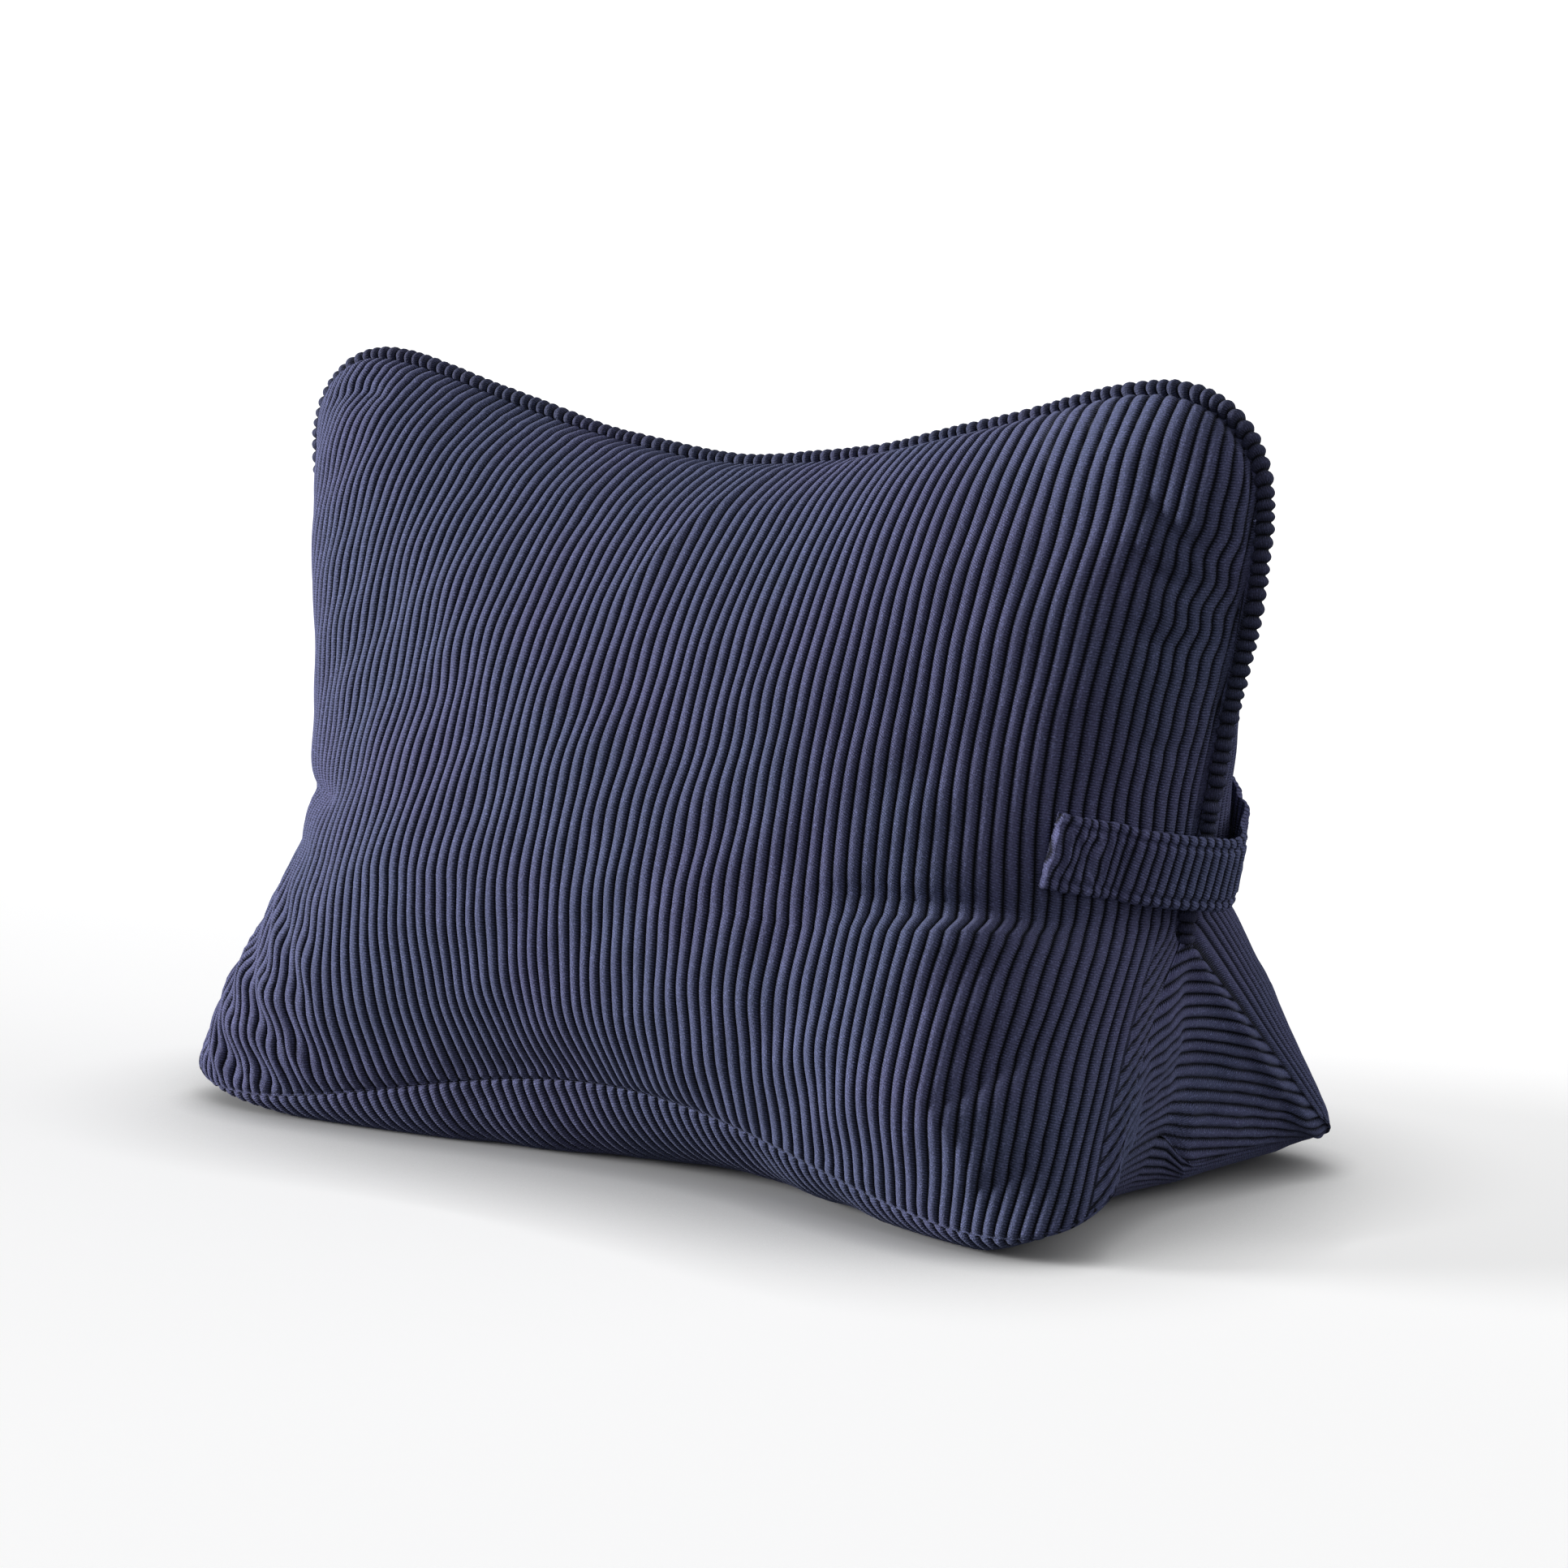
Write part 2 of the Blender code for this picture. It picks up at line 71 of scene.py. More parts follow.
EAR_SHORT, TOE_LONG = .020, .021      # how the left side differs, as shares of its width
FOLD_X, FOLD_HALF = .235, .095
FOLD_TOP, FOLD_FOOT, FOLD_OUT = .172, .050, .013     # the slack fold at the lower right
FOLD_EDGE, FOLD_FADE = (-.011, .002), (-.03, .05)    # its sharp top and its soft foot
SAG = 1.6                             # how flat a gusset's hollow is across
HANG_ACROSS, HANG_UP_TO = (-.02, .22), .45    # where a gusset's back half hangs low
FLAT_SHARE = .4                       # share of the base, from its middle, that lies flat
# The gusset's sunken middle line: height z, half width x.
VALLEY = np.array((
    (.040, .291), (.059, .295), (.078, .300), (.091, .305), (.102, .3075), (.120, .3085),
    (.147, .3075), (.155, .304),
))
# How the base rolls under: x, inward run, outward swell.
ROLL = np.array((
    (-.32, .012, 0), (-.25, .016, .001), (-.14, .022, .0015), (-.066, .034, .001),
    (.024, .062, 0), (.054, .068, 0), (.087, .062, 0), (.134, .044, 0), (.20, .026, 0),
    (.28, .018, 0), (.32, .014, 0),
))
BIAS = .014                           # sideways slant of the base's ribs, for each radian of roll
CORNER_FROM, CORNER = .72, 5          # where the base bends towards a gusset, and how late
# The strap's centre line from front to back; at both ends it lies on the panel.
HANDLE = (
    (.272, -.12, .211), (.280, -.12, .2085), (.288, -.12, .206), (.2945, -.12, .204),
    (.304, -.0545, .201), (.314, -.0420, .198), (.3225, -.0265, .195), (.3275, -.011, .1925),
    (.3288, 0, .191),
    (.3275, .011, .1925), (.3170, .0265, .195), (.3095, .0420, .198), (.3025, .0545, .201),
    (.2945, .12, .204), (.288, .12, .206), (.280, .12, .2085), (.272, .12, .211),
)
ON_PANEL = .1                         # strap stations this far from the ridge lie on the panel
# Its width, thickness, lean of its width from upright, distance kept from the panel.
STRAP_W, STRAP_T, STRAP_LEAN, STRAP_SEAT = .041, .0025, .20, .0013

# ---- ribs of the cloth -------------------------------------------------------------------
FRONT_RIBS, BASE_RIBS, GUSSET_RIBS, STRAP_RIBS = 96, 84, 17, 38
RIB_DEPTH, RIB_RISE = .0030, .0006    # groove to crest, and how far crests stand proud
RIB_SQUARE, RIB_ROUND = 2.3, .55      # shape of a rib's cross-section
FINE = (0, .07, .2, .35, .5, .65, .8, .93)     # columns of vertices over one rib
COARSE = (0, .12, .32, .5, .68, .88)
SEAM_ROUND, SEAM_SINK = .0032, .0006  # rib ends round off over this run into a stitched seam
LIP, LIP_RUN = .30, .0016             # share of that sink left at the seam itself
# Beside the cord: run that it covers, run over which ribs round off, their sink and its run.
CORD_COVER, CORD_ROUND, CORD_SINK, CORD_RUN = .0025, .0035, .0020, .007
CORD_HIDES, CORD_LIP = .004, .25      # the panel's edge comes back up inside the cord
CHANNEL, CHANNEL_SINK = .012, .0036   # the open channel beside the cord on the right side
CHANNEL_X = (.26, .29)                # where it begins
END_ROWS = (0, .0006, .0015, .0028, .0045, .0068)    # rows of vertices beside a seam
END_GAP = .002                        # from the last of them to the first even row
WEAVE_PITCH = .00155                  # distance between woven rows along a rib

# ---- piping ------------------------------------------------------------------------------
BEAD_PITCH, BEAD_R, BEAD_WAIST = .0070, .0054, .0022
BEAD_ROWS, BEAD_SIDES = 10, 20
BEAD_ROUND, BEAD_TWIST, BEAD_DRIFT = .6, .16, .18    # roundness, slant and unevenness of beads
BEAD_SIZES = (.94, 1.05)              # smallest and largest bead, as a share
CORD_TUCK = .006                      # how far the cord's ends run down over the gussets' tops
# The cord waves a little low on the right side: where it does, then how far and over what
# length it strays outwards (y) and up (z); last the small waves it has everywhere.
CORD_WAVE_X, CORD_WAVE_Z, CORD_WAVE_RUN = (.25, .29), .205, .035
CORD_WAVE_OUT, CORD_WAVE_UP = (.0028, .021), (.0016, .017)
CORD_WAVER, CORD_WAVER_RATE, CORD_LOWER = .0004, 61, .0002

# ---- camera and light --------------------------------------------------------------------
AZIMUTH, ELEVATION, DISTANCE, LENS = 37.5, 8.9, 2.409, 94.4
TARGET = Vector((.027, 0, .212))


# ---- curves ------------------------------------------------------------------------------
def through(points, steps):
    """A smooth curve through the points, with `steps` samples between each two."""
    p = np.array(points, float)
    p = np.vstack([2 * p[0] - p[1], p, 2 * p[-1] - p[-2]])
    t = np.linspace(0, 1, steps, endpoint=False)[:, None]
    spans = [
        .5 * (2 * b + (c - a) * t + (2 * a - 5 * b + 4 * c - d) * t**2
              + (3 * b - a - 3 * c + d) * t**3)
        for a, b, c, d in zip(p, p[1:], p[2:], p[3:])
    ]
    return np.vstack(spans + [p[-2:-1]])


def eased(x, xs, ys):
    """A smooth curve through (xs, ys), read at x."""
    slope = np.gradient(ys, xs)
    x = np.clip(x, xs[0], xs[-1])
    i = np.clip(np.searchsorted(xs, x) - 1, 0, len(xs) - 2)
    h = xs[i + 1] - xs[i]
    t = (x - xs[i]) / h
    return (ys[i] * (1 + 2 * t) * (1 - t) ** 2 + ys[i + 1] * t * t * (3 - 2 * t)
            + h * slope[i] * t * (1 - t) ** 2 - h * slope[i + 1] * t * t * (1 - t))


def step(x, low, high):
    """0 below low, 1 above high, smooth between."""
    t = np.clip((x - low) / (high - low), 0, 1)
    return t * t * (3 - 2 * t)


def unit(vectors):
    return vectors / np.maximum(np.linalg.norm(vectors, axis=-1, keepdims=True), 1e-12)


def run_along(line):
    """Distance along a line of points, from its first one."""
    return np.r_[0, np.cumsum(np.linalg.norm(np.diff(line, axis=0), axis=1))]


def at_share(line, shares):
    """Points of a line at these shares of its length."""
    reach = run_along(line)
    return np.stack([np.interp(shares, reach / reach[-1], line[:, k]) for k in range(3)], -1)


def field(a, b, size, seed, waves=7):
    """Smooth random unevenness, about -1 to 1, with lumps of about `size`."""
    rng = np.random.default_rng(seed)
    total = np.zeros(np.broadcast(a, b).shape)
    for _ in range(waves):
        way, phase, stretch = rng.uniform(0, 2 * np.pi, 2).tolist() + [rng.uniform(.6, 1.5)]
        k = 2 * np.pi / (size * 2 * stretch)
        total += np.sin(k * (a * np.cos(way) + b * np.sin(way)) + phase)
    return total / math.sqrt(waves)


def nearest(points, line):
    """Distance from each point to a dense line of points."""
    tree = KDTree(len(line))
    for index, place in enumerate(line):
        tree.insert(place, index)
    tree.balance()
    found = [tree.find(place)[2] for place in points.reshape(-1, 3)]
    return np.array(found).reshape(points.shape[:-1])


RIDGE_LINE = through(RIDGE, 24)
WIDEST = RIDGE_LINE[:, 0].argmax()
FLANK, CREST = RIDGE_LINE[: WIDEST + 1], RIDGE_LINE[WIDEST:][::-1]


# ---- the cushion's outer surfaces --------------------------------------------------------
def leftward(points):
    """The left side differs a little from the right: a smaller ear and a longer toe."""
    x, z = points[..., 0], points[..., 2]
    share = (1 - EAR_SHORT * step(z, .22, .38)) * (1 + TOE_LONG * (1 - step(z, .02, .16)))
    points[..., 0] = np.where(x < 0, x * share, x)
    return points


def gusset_edge(z):
    """Half width and forward reach of the seam between front panel and gusset."""
    q = np.clip((APEX_Z - z) / (APEX_Z - TIP_Z), 0, 1)
    return APEX_X + TOE_SPREAD * q**SPREAD_CURVE, -TOE_REACH * q**REACH_CURVE


def arch(x):
    """1 at the middle of the base seam, 0 at the feet."""
    return np.cos(np.pi / 2 * np.clip(np.abs(x) / ARCH_HALF, 0, 1)) ** 2


def base_seam_z(x, y):
    """Height of the seam between a panel and the base."""
    toe_y = -gusset_edge(TOE_Z)[1]
    toe = np.clip((FOOT_Y - np.abs(y)) / (FOOT_Y - toe_y), 0, 1) * (np.abs(x) > TOE_FROM)
    return TIP_Z + ARCH_RISE * arch(x) + (TOE_Z - TIP_Z) * toe


def ledge(x, z):
    """How far the slack fold at the lower right stands out."""
    near = np.clip(1 - ((x - FOLD_X) / FOLD_HALF) ** 2, 0, 1) ** 1.5
    above = 1 - step(z, FOLD_TOP + FOLD_EDGE[0], FOLD_TOP + FOLD_EDGE[1])
    return FOLD_OUT * near * above * step(z, FOLD_FOOT + FOLD_FADE[0], FOLD_FOOT + FOLD_FADE[1])


def panel(across, levels, side, wander=None):
    """Points of the front (side -1) or back panel (+1). `across` runs from -1 at the left
    seam to 1 at the right, `levels` from 0 at the base to 1 at the ridge. `wander` shifts
    the ribs sideways."""
    depth, left, right, edge = (eased(levels, LEVELS[:, 0], LEVELS[:, k]) for k in (1, 2, 3, 4))
    ratio = np.sin(np.linspace(-np.pi / 2, np.pi / 2, 1601))
    grid = np.zeros((len(across), len(levels), 3))
    for j, level in enumerate(levels):
        z = TOE_Z + (SHOULDER_Z - TOE_Z) * level
        half, start = gusset_edge(z)
        if z >= APEX_Z:
            half, start = np.interp(z, FLANK[:, 1], FLANK[:, 0]), 0
        square = np.where(ratio < 0, left[j], right[j])
        bulge = np.clip(1 - np.abs(ratio) ** square, 0, 1) ** edge[j]
        x, y = half * ratio, start - (depth[j] + start) * bulge
        run = np.r_[0, np.cumsum(np.hypot(np.diff(x), np.diff(y)))]
        run = run / run[-1] * 2 - 1
        high = np.clip((level - LEAN_FROM) / (1 - LEAN_FROM), 0, 1)
        lean = LEAN / half * high**LEAN_CURVE
        at = across + lean * (1 - across * across)
        if wander is not None:
            at = at + wander[:, j]
        grid[:, j, 0], grid[:, j, 1] = np.interp(at, run, x), np.interp(at, run, y)
    bottom = base_seam_z(grid[:, 0, 0], grid[:, 0, 1])
    top = np.interp(np.abs(grid[:, -1, 0]), CREST[:, 0], CREST[:, 1])
    top = np.where(np.abs(across) == 1, SHOULDER_Z, top)
    grid[:, :, 2] = bottom[:, None] + (top - bottom)[:, None] * levels
    grid[:, :, 1] += ARCH_DRAW * arch(grid[:, :, 0]) * np.clip(1 - levels / ARCH_LEVEL, 0, 1) ** 2
    if side < 0:
        grid[..., 1] -= ledge(grid[..., 0], grid[..., 2]) * step(1 - np.abs(across), 0, .2)[:, None]
    grid[..., 1] *= -side
    return leftward(grid)


def along_valley(edge):
    """Share of the way up and height of a gusset's middle line, for each place of its edge."""
    reach = run_along(edge)
    share = reach / reach[-1]
    return share, VALLEY[0, 0] + (APEX_Z - VALLEY[0, 0]) * share


def hanging(edge, t):
    """How far the back half of a gusset hangs below the height of its front half."""
    share, valley_z = (row[:, None] for row in along_valley(edge))
    hang = step(t, *HANG_ACROSS) * (1 - step(share, 0, HANG_UP_TO))
    return (valley_z - edge[:, 2:]) * (1 - np.abs(t) ** SAG) * hang


def gusset(side, edge, t):
    """Rows of points across one gusset, from its base seam to its apex."""
    valley_z = along_valley(edge)[1]
    valley_x = side * eased(valley_z, VALLEY[:, 0], VALLEY[:, 1])
    sink = 1 - np.abs(t) ** SAG
    grid = np.zeros((len(edge), len(t), 3))
    grid[..., 0] = edge[:, None, 0] + (valley_x - edge[:, 0])[:, None] * sink
    grid[..., 1] = -edge[:, None, 1] * t
    grid[..., 2] = edge[:, None, 2] + (valley_z - edge[:, 2])[:, None] * sink - hanging(edge, t)
    return grid


def base(seam, ends, t):
    """The base panel, from the front seam to the back one. It rolls under to lie flat."""
    turn = np.pi / 2 * np.clip((1 - np.abs(t)) / (1 - FLAT_SHARE), 0, 1)
    flat = np.clip((FLAT_SHARE - np.abs(t)) / FLAT_SHARE, 0, 1)
    roll, swell = (eased(seam[:, 0], ROLL[:, 0], ROLL[:, k])[:, None] for k in (1, 2))
    reach = np.abs(seam[:, 1:2])
    inward = roll * (1 - np.cos(turn)) - swell * np.sin(2 * turn) + (reach - roll) * flat
    grid = np.zeros((len(seam), len(t), 3))
    grid[..., 0] = seam[:, :1] + BIAS * turn * (1 - (seam[:, :1] / TIP_X) ** 6)
    grid[..., 1] = np.sign(t) * (reach - inward)
    grid[..., 2] = seam[:, 2:] * (1 - np.sin(turn))
    for row, index in zip(ends, (0, -1)):
        corner = seam[index, 0]
        near = np.clip((seam[:, :1] / corner - CORNER_FROM) / (1 - CORNER_FROM), 0, 1)
        grid[..., 1] += (reach * t - grid[..., 1]) * near**CORNER
        lift = np.interp(grid[..., 1], row[:, 1], row[:, 2])
        shift = np.interp(grid[..., 1], row[:, 1], row[:, 0]) - corner
        grid[..., 2] = np.maximum(grid[..., 2], lift * near**2)
        grid[..., 0] += shift * near**1.5
        grid[index] = row
    return grid


def length_along(grid):
    """Distance of each point from the first of its row."""
    steps = np.linalg.norm(np.diff(grid, axis=1), axis=-1)
    return np.concatenate([np.zeros((len(grid), 1)), np.cumsum(steps, 1)], 1)


def normals(grid, outward):
    """Unit normals of a grid of points, on the side that `outward` points to."""
    across = unit(np.cross(np.gradient(grid, axis=0), np.gradient(grid, axis=1)))
    middle = across[across.shape[0] // 2, across.shape[1] // 2]
    return across * np.sign(middle @ np.array(outward))


# ---- folds -------------------------------------------------------------------------------
def fold(x, z, line, height, width, blunt=.0015):
    """A fold along a line of (x, z) places: sharp at its crest, gone `width` beside it and
    at both ends. A negative height is a crease."""
    line = through([(*place, 0) for place in line], 10)[:, :2]
    reach = run_along(line)
    best, along = np.full(x.shape, 1e9), np.zeros(x.shape)
    for (a, b), start, length in zip(zip(line, line[1:]), reach, np.diff(reach)):
        way = (b - a) / length
        t = np.clip((x - a[0]) * way[0] + (z - a[1]) * way[1], 0, length)
        gap = np.hypot(x - a[0] - t * way[0], z - a[1] - t * way[1])
        closer = gap < best
        best, along = np.where(closer, gap, best), np.where(closer, start + t, along)
    side = np.exp(-(np.sqrt(best**2 + blunt**2) - blunt) / width)
    return height * side * np.sin(np.pi * np.clip(along / reach[-1], .03, .97)) ** .7


# Folds of the front panel: line of (x, z), height, width.
FRONT_FOLDS = (
    (((-.279, .150), (-.262, .118), (-.235, .066), (-.212, .012)), .0031, .0090),
    (((-.300, .110), (-.287, .075), (-.268, .043), (-.256, .010)), .0030, .0085),
    (((-.312, .080), (-.302, .050), (-.290, .010)), .0026, .0075),
    (((-.258, .085), (-.246, .050), (-.236, .010)), .0020, .0075),
    (((-.226, .125), (-.204, .080), (-.184, .030)), .0020, .0090),
    (((-.306, .188), (-.280, .191), (-.225, .196)), -.0080, .0080),
    (((.160, .186), (.215, .182), (.262, .177), (.300, .168)), -.0070, .0055),
    (((.150, .170), (.210, .168), (.262, .162), (.298, .150)), .0045, .0050),
    (((.245, .078), (.266, .094), (.293, .117)), -.0050, .0055),
    (((.270, .036), (.287, .047), (.311, .078)), -.0045, .0050),
    (((.225, .100), (.255, .068), (.275, .035)), .0025, .0100),
    (((.300, .400), (.316, .380), (.332, .368)), -.0050, .0045),
    (((.296, .372), (.312, .356), (.330, .350)), -.0045, .0045),
    (((.300, .330), (.316, .318), (.328, .322)), -.0035, .0050),
    (((.300, .270), (.310, .262), (.320, .266)), -.0025, .0050),
    (((-.315, .426), (-.285, .434), (-.250, .428)), -.0035, .0042),
    (((.050, .404), (.030, .385), (.004, .350), (-.020, .310)), .0032, .0110),
    (((-.320, .420), (-.290, .428), (-.255, .420)), -.0020, .0080),
)
BACK_FOLDS = (
    (((.250, .060), (.280, .085), (.300, .130)), .0040, .0120),
    (((-.250, .060), (-.285, .090), (-.300, .130)), .0045, .0100),
    (((.190, .190), (.240, .184), (.295, .186)), -.0050, .0080),
    (((-.190, .184), (-.240, .186), (-.300, .190)), -.0050, .0080),
    (((-.06, .110), (.02, .098), (.10, .104)), .0030, .0200),
)
STRAP_ZONE = (.285, .206, .034)       # x, z and radius of the place where the strap is sewn
STRAP_ZONE_SQUAT = 1.2                # its width over its height
LUMPS = ((.0014, .075, 11), (.0005, .028, 23))    # height, size, seed of the soft lumps
WANDER = ((.30, .12), (.06, .030))    # how far ribs stray sideways, in ribs, and over what run
WANDER_ACROSS, WANDER_ALONG = .35, .4 # panel width and height that the run is measured in
EAR_WAVES, EAR_RUN = .345, .040       # height and reach of the wavy ribs beside the right ear
EAR_X, EAR_SHIFT = (.300, .328), .24  # where they begin, and how far they sway, in ribs
EAR_WAVE_Z, EAR_WAVE_X = .030, .060   # their wave lengths
GRAIN_RIBS = 3.2                      # ribs that run out into the cord beside the right ear
GRAIN_FROM, GRAIN_TO = .235, .420     # heights between which they do
GRAIN_ACROSS, GRAIN_CURVE = (.50, .95), 1.3
# Beside the right gusset: first rib of the slanting strip, height that one of its ribs takes,
# share of the ribs across it that is kept, height over which that share is reached.
FEATHER_FROM, FEATHER_RUN, FEATHER_WIDE, FEATHER_TOP = 93, .0105, .6, .03
# The zigzag of the ribs over the left foot: rows of small waves in and out, a slower one
# from side to side.
WAVE_X, WAVE_Z, WAVE_OUT, WAVE_SIDE, WAVE_SLOW = .028, .034, .0012, .40, 5
FOOT_X, FOOT_Z = (.185, .255), (.085, .175)    # where the left foot's waves begin and end


def foot_phase(x, z, slow=1.0):
    """Phase of the foot's waves. `slow` stretches them along x."""
    return 2 * np.pi * (z / WAVE_Z + x / WAVE_X / slow)


def foot_zone(x, z):
    """1 over the left foot, 0 away from it."""
    return step(-x, *FOOT_X) * (1 - step(z, *FOOT_Z))


def relief(grid, side):
    """How far the panel stands out from its smooth shape: folds, creases, soft lumps."""
    x, z = grid[..., 0], grid[..., 2]
    out = sum(fold(x, z, *row) for row in (FRONT_FOLDS if side < 0 else BACK_FOLDS))
    lumps = sum(height * field(x, z, size, seed + side) for height, size, seed in LUMPS)
    out = out + WAVE_OUT * foot_zone(x, z) * np.sin(foot_phase(x, z))
    sewn = np.hypot(x - STRAP_ZONE[0], (z - STRAP_ZONE[1]) * STRAP_ZONE_SQUAT)
    return out + lumps * step(sewn, STRAP_ZONE[2], 2 * STRAP_ZONE[2])


# ---- ribs --------------------------------------------------------------------------------
def rib(u):
    """Height of the pile over one rib: 0 in the grooves at whole numbers, 1 on the crest."""
    t = np.abs(2 * (u % 1) - 1)
    return (1 - t**RIB_SQUARE) ** RIB_ROUND


def rib_places(count, shares):
    """Rib numbers of the columns of vertices, from 0 to count."""
    return np.r_[(np.arange(count)[:, None] + np.array(shares)).ravel(), count]


def rounded(gap, run):
    """0 at a seam to 1 at `run` from it, as a quarter circle."""
    return np.sqrt(1 - (1 - np.clip(gap / run, 0, 1)) ** 2)


def ribbed(grid, normal, number, stitched, cord=None, run=SEAM_ROUND):
    """Lifts the ribs out of a smooth surface. `number` is the rib number of each point;
    ribs end rounded at the stitched seam and dive under the cord."""
    gap = edge_gap = nearest(grid, stitched)
    cover = rounded(gap, run)
    sink = SEAM_SINK * (1 - step(gap, 0, run))
    if cord is not None:
        gap = nearest(grid, cord)
        cover = cover * rounded(gap - CORD_COVER, CORD_ROUND)
        sink = np.maximum(sink, CORD_SINK * (1 - step(gap, CORD_COVER, CORD_RUN)))
        beside = (1 - step(gap, CHANNEL / 2, CHANNEL)) * step(grid[..., 0], *CHANNEL_X)
        sink = np.maximum(sink, CHANNEL_SINK * beside)
    height = RIB_RISE - RIB_DEPTH * (1 - rib(number) * cover) - sink
    height = height * (LIP + (1 - LIP) * step(edge_gap, 0, LIP_RUN))
    if cord is not None:
        height = height * (CORD_LIP + (1 - CORD_LIP) * step(gap, 0, CORD_HIDES))
    return grid + normal * height[..., None]


# ---- building blocks ---------------------------------------------------------------------
def cloth(name, grid, uv, material, outward, tip=None):
    """A mesh from a grid of points with the rib coordinates as its UV map. `tip` closes the
    open side of a filled half with faces that meet in one inner point."""
    rows, cols = grid.shape[:2]
    index = np.arange(rows * cols).reshape(rows, cols)
    faces = np.stack([index[:-1, :-1], index[1:, :-1], index[1:, 1:], index[:-1, 1:]], -1)
    a, b = grid[1:, 1:] - grid[:-1, :-1], grid[:-1, 1:] - grid[1:, :-1]
    facing = np.cross(a, b)[rows // 2, cols // 2] @ np.array(outward)
    faces = faces.reshape(-1, 4)
    if facing < 0:
        faces = faces[:, ::-1]
    points, faces, coords = grid.reshape(-1, 3), faces.tolist(), uv.reshape(-1, 2)
    if tip is not None:
        ring = np.r_[index[0, :-1], index[:-1, -1], index[-1, :0:-1], index[:0:-1, 0]]
        ring = ring if facing < 0 else ring[::-1]
        faces += [(int(p), int(q), len(points)) for p, q in zip(ring, np.roll(ring, -1))]
        points, coords = np.vstack([points, tip]), np.vstack([coords, [0, 0]])
    return mesh_object(name, points, faces, coords, material)


def mesh_object(name, points, faces, coords, material):
    mesh = bpy.data.meshes.new(name)
    mesh.from_pydata(points.tolist(), [], faces)
    loops = np.zeros(len(mesh.loops), np.int32)
    mesh.loops.foreach_get("vertex_index", loops)
    layer = mesh.uv_layers.new(name="Rib")
    layer.data.foreach_set("uv", coords[loops].astype(np.float32).ravel())
    mesh.shade_smooth()
    mesh.materials.append(material)
    thing = bpy.data.objects.new(name, mesh)
    bpy.context.collection.objects.link(thing)
    return thing


def tube(name, centre, side, up, radius, coords, material):
    """A tube round a centre line, from its two cross directions and a radius for each
    station and angle, closed at both ends."""
    stations, sides = radius.shape
    angle = np.linspace(0, 2 * np.pi, sides, endpoint=False)
    ring = (side[:, None] * np.cos(angle)[:, None] + up[:, None] * np.sin(angle)[:, None])
    points = (centre[:, None] + ring * radius[..., None]).reshape(-1, 3)
    index = np.arange(stations * sides).reshape(stations, sides)
    after = np.roll(index, -1, axis=1)
    faces = np.stack([index[:-1], after[:-1], after[1:], index[1:]], -1).reshape(-1, 4).tolist()
    faces += [index[0, ::-1].tolist(), index[-1].tolist()]
    return mesh_object(name, points, faces, coords.reshape(-1, 2), material)


# ---- materials ---------------------------------------------------------------------------
class Nodes:
    """A short way to write a shader's node tree."""

    def __init__(self, name):
        self.material = bpy.data.materials.new(name)
        self.material.use_nodes = True
        self.tree = self.material.node_tree
        self.shader = self.tree.nodes["Principled BSDF"]

    def feed(self, socket, value):
        if isinstance(value, bpy.types.NodeSocket):
            self.tree.links.new(value, socket)
        elif value is not None:
            socket.default_value = value

    def math(self, operation, a, b=None, c=None):
        node = self.tree.nodes.new("ShaderNodeMath")
        node.operation = operation
        for socket, value in zip(node.inputs, (a, b, c)):
            self.feed(socket, value)
        return node.outputs[0]

    def ramp(self, value, low, high, to_low=0.0, to_high=1.0):
        node = self.tree.nodes.new("ShaderNodeMapRange")
        node.interpolation_type = "SMOOTHSTEP"
        for socket, given in zip(node.inputs, (value, low, high, to_low, to_high)):
            self.feed(socket, given)
        return node.outputs[0]

    def mix(self, share, a, b):
        node = self.tree.nodes.new("ShaderNodeMix")
        node.data_type = "RGBA"
        self.feed(node.inputs["Factor"], share)
        self.feed(node.inputs["A"], a)
        self.feed(node.inputs["B"], b)
        return node.outputs["Result"]

    def noise(self, scale, detail=2.0, vector=None):
        node = self.tree.nodes.new("ShaderNodeTexNoise")
        node.inputs["Scale"].default_value = scale
        node.inputs["Detail"].default_value = detail
        if vector is None:
            vector = self.tree.nodes.new("ShaderNodeTexCoord").outputs["Object"]
        self.tree.links.new(vector, node.inputs["Vector"])
        return node.outputs["Fac"]

    def rib_coordinates(self):
        place = self.tree.nodes.new("ShaderNodeUVMap")
        place.uv_map = "Rib"
        split = self.tree.nodes.new("ShaderNodeSeparateXYZ")
        self.tree.links.new(place.outputs[0], split.inputs[0])
        return split.outputs[0], split.outputs[1]

    def open_share(self, reach):
        node = self.tree.nodes.new("ShaderNodeAmbientOcclusion")
        node.samples = 8
        node.inputs["Distance"].default_value = reach
        return node.outputs["AO"]

    def bump(self, height, strength, distance):
        node = self.tree.nodes.new("ShaderNodeBump")
        node.inputs["Strength"].default_value = strength
        node.inputs["Distance"].default_value = distance
        self.tree.links.new(height, node.inputs["Height"])
        self.tree.links.new(node.outputs[0], self.shader.inputs["Normal"])


def rgb(r, g, b):
    return (r, g, b, 1.0)


def shaded(colour, share):
    return rgb(*(c * share for c in colour[:3]))


PILE = rgb(.107, .118, .240)
PILE_WARM = rgb(.121, .114, .244)
PILE_COOL = rgb(.094, .121, .223)


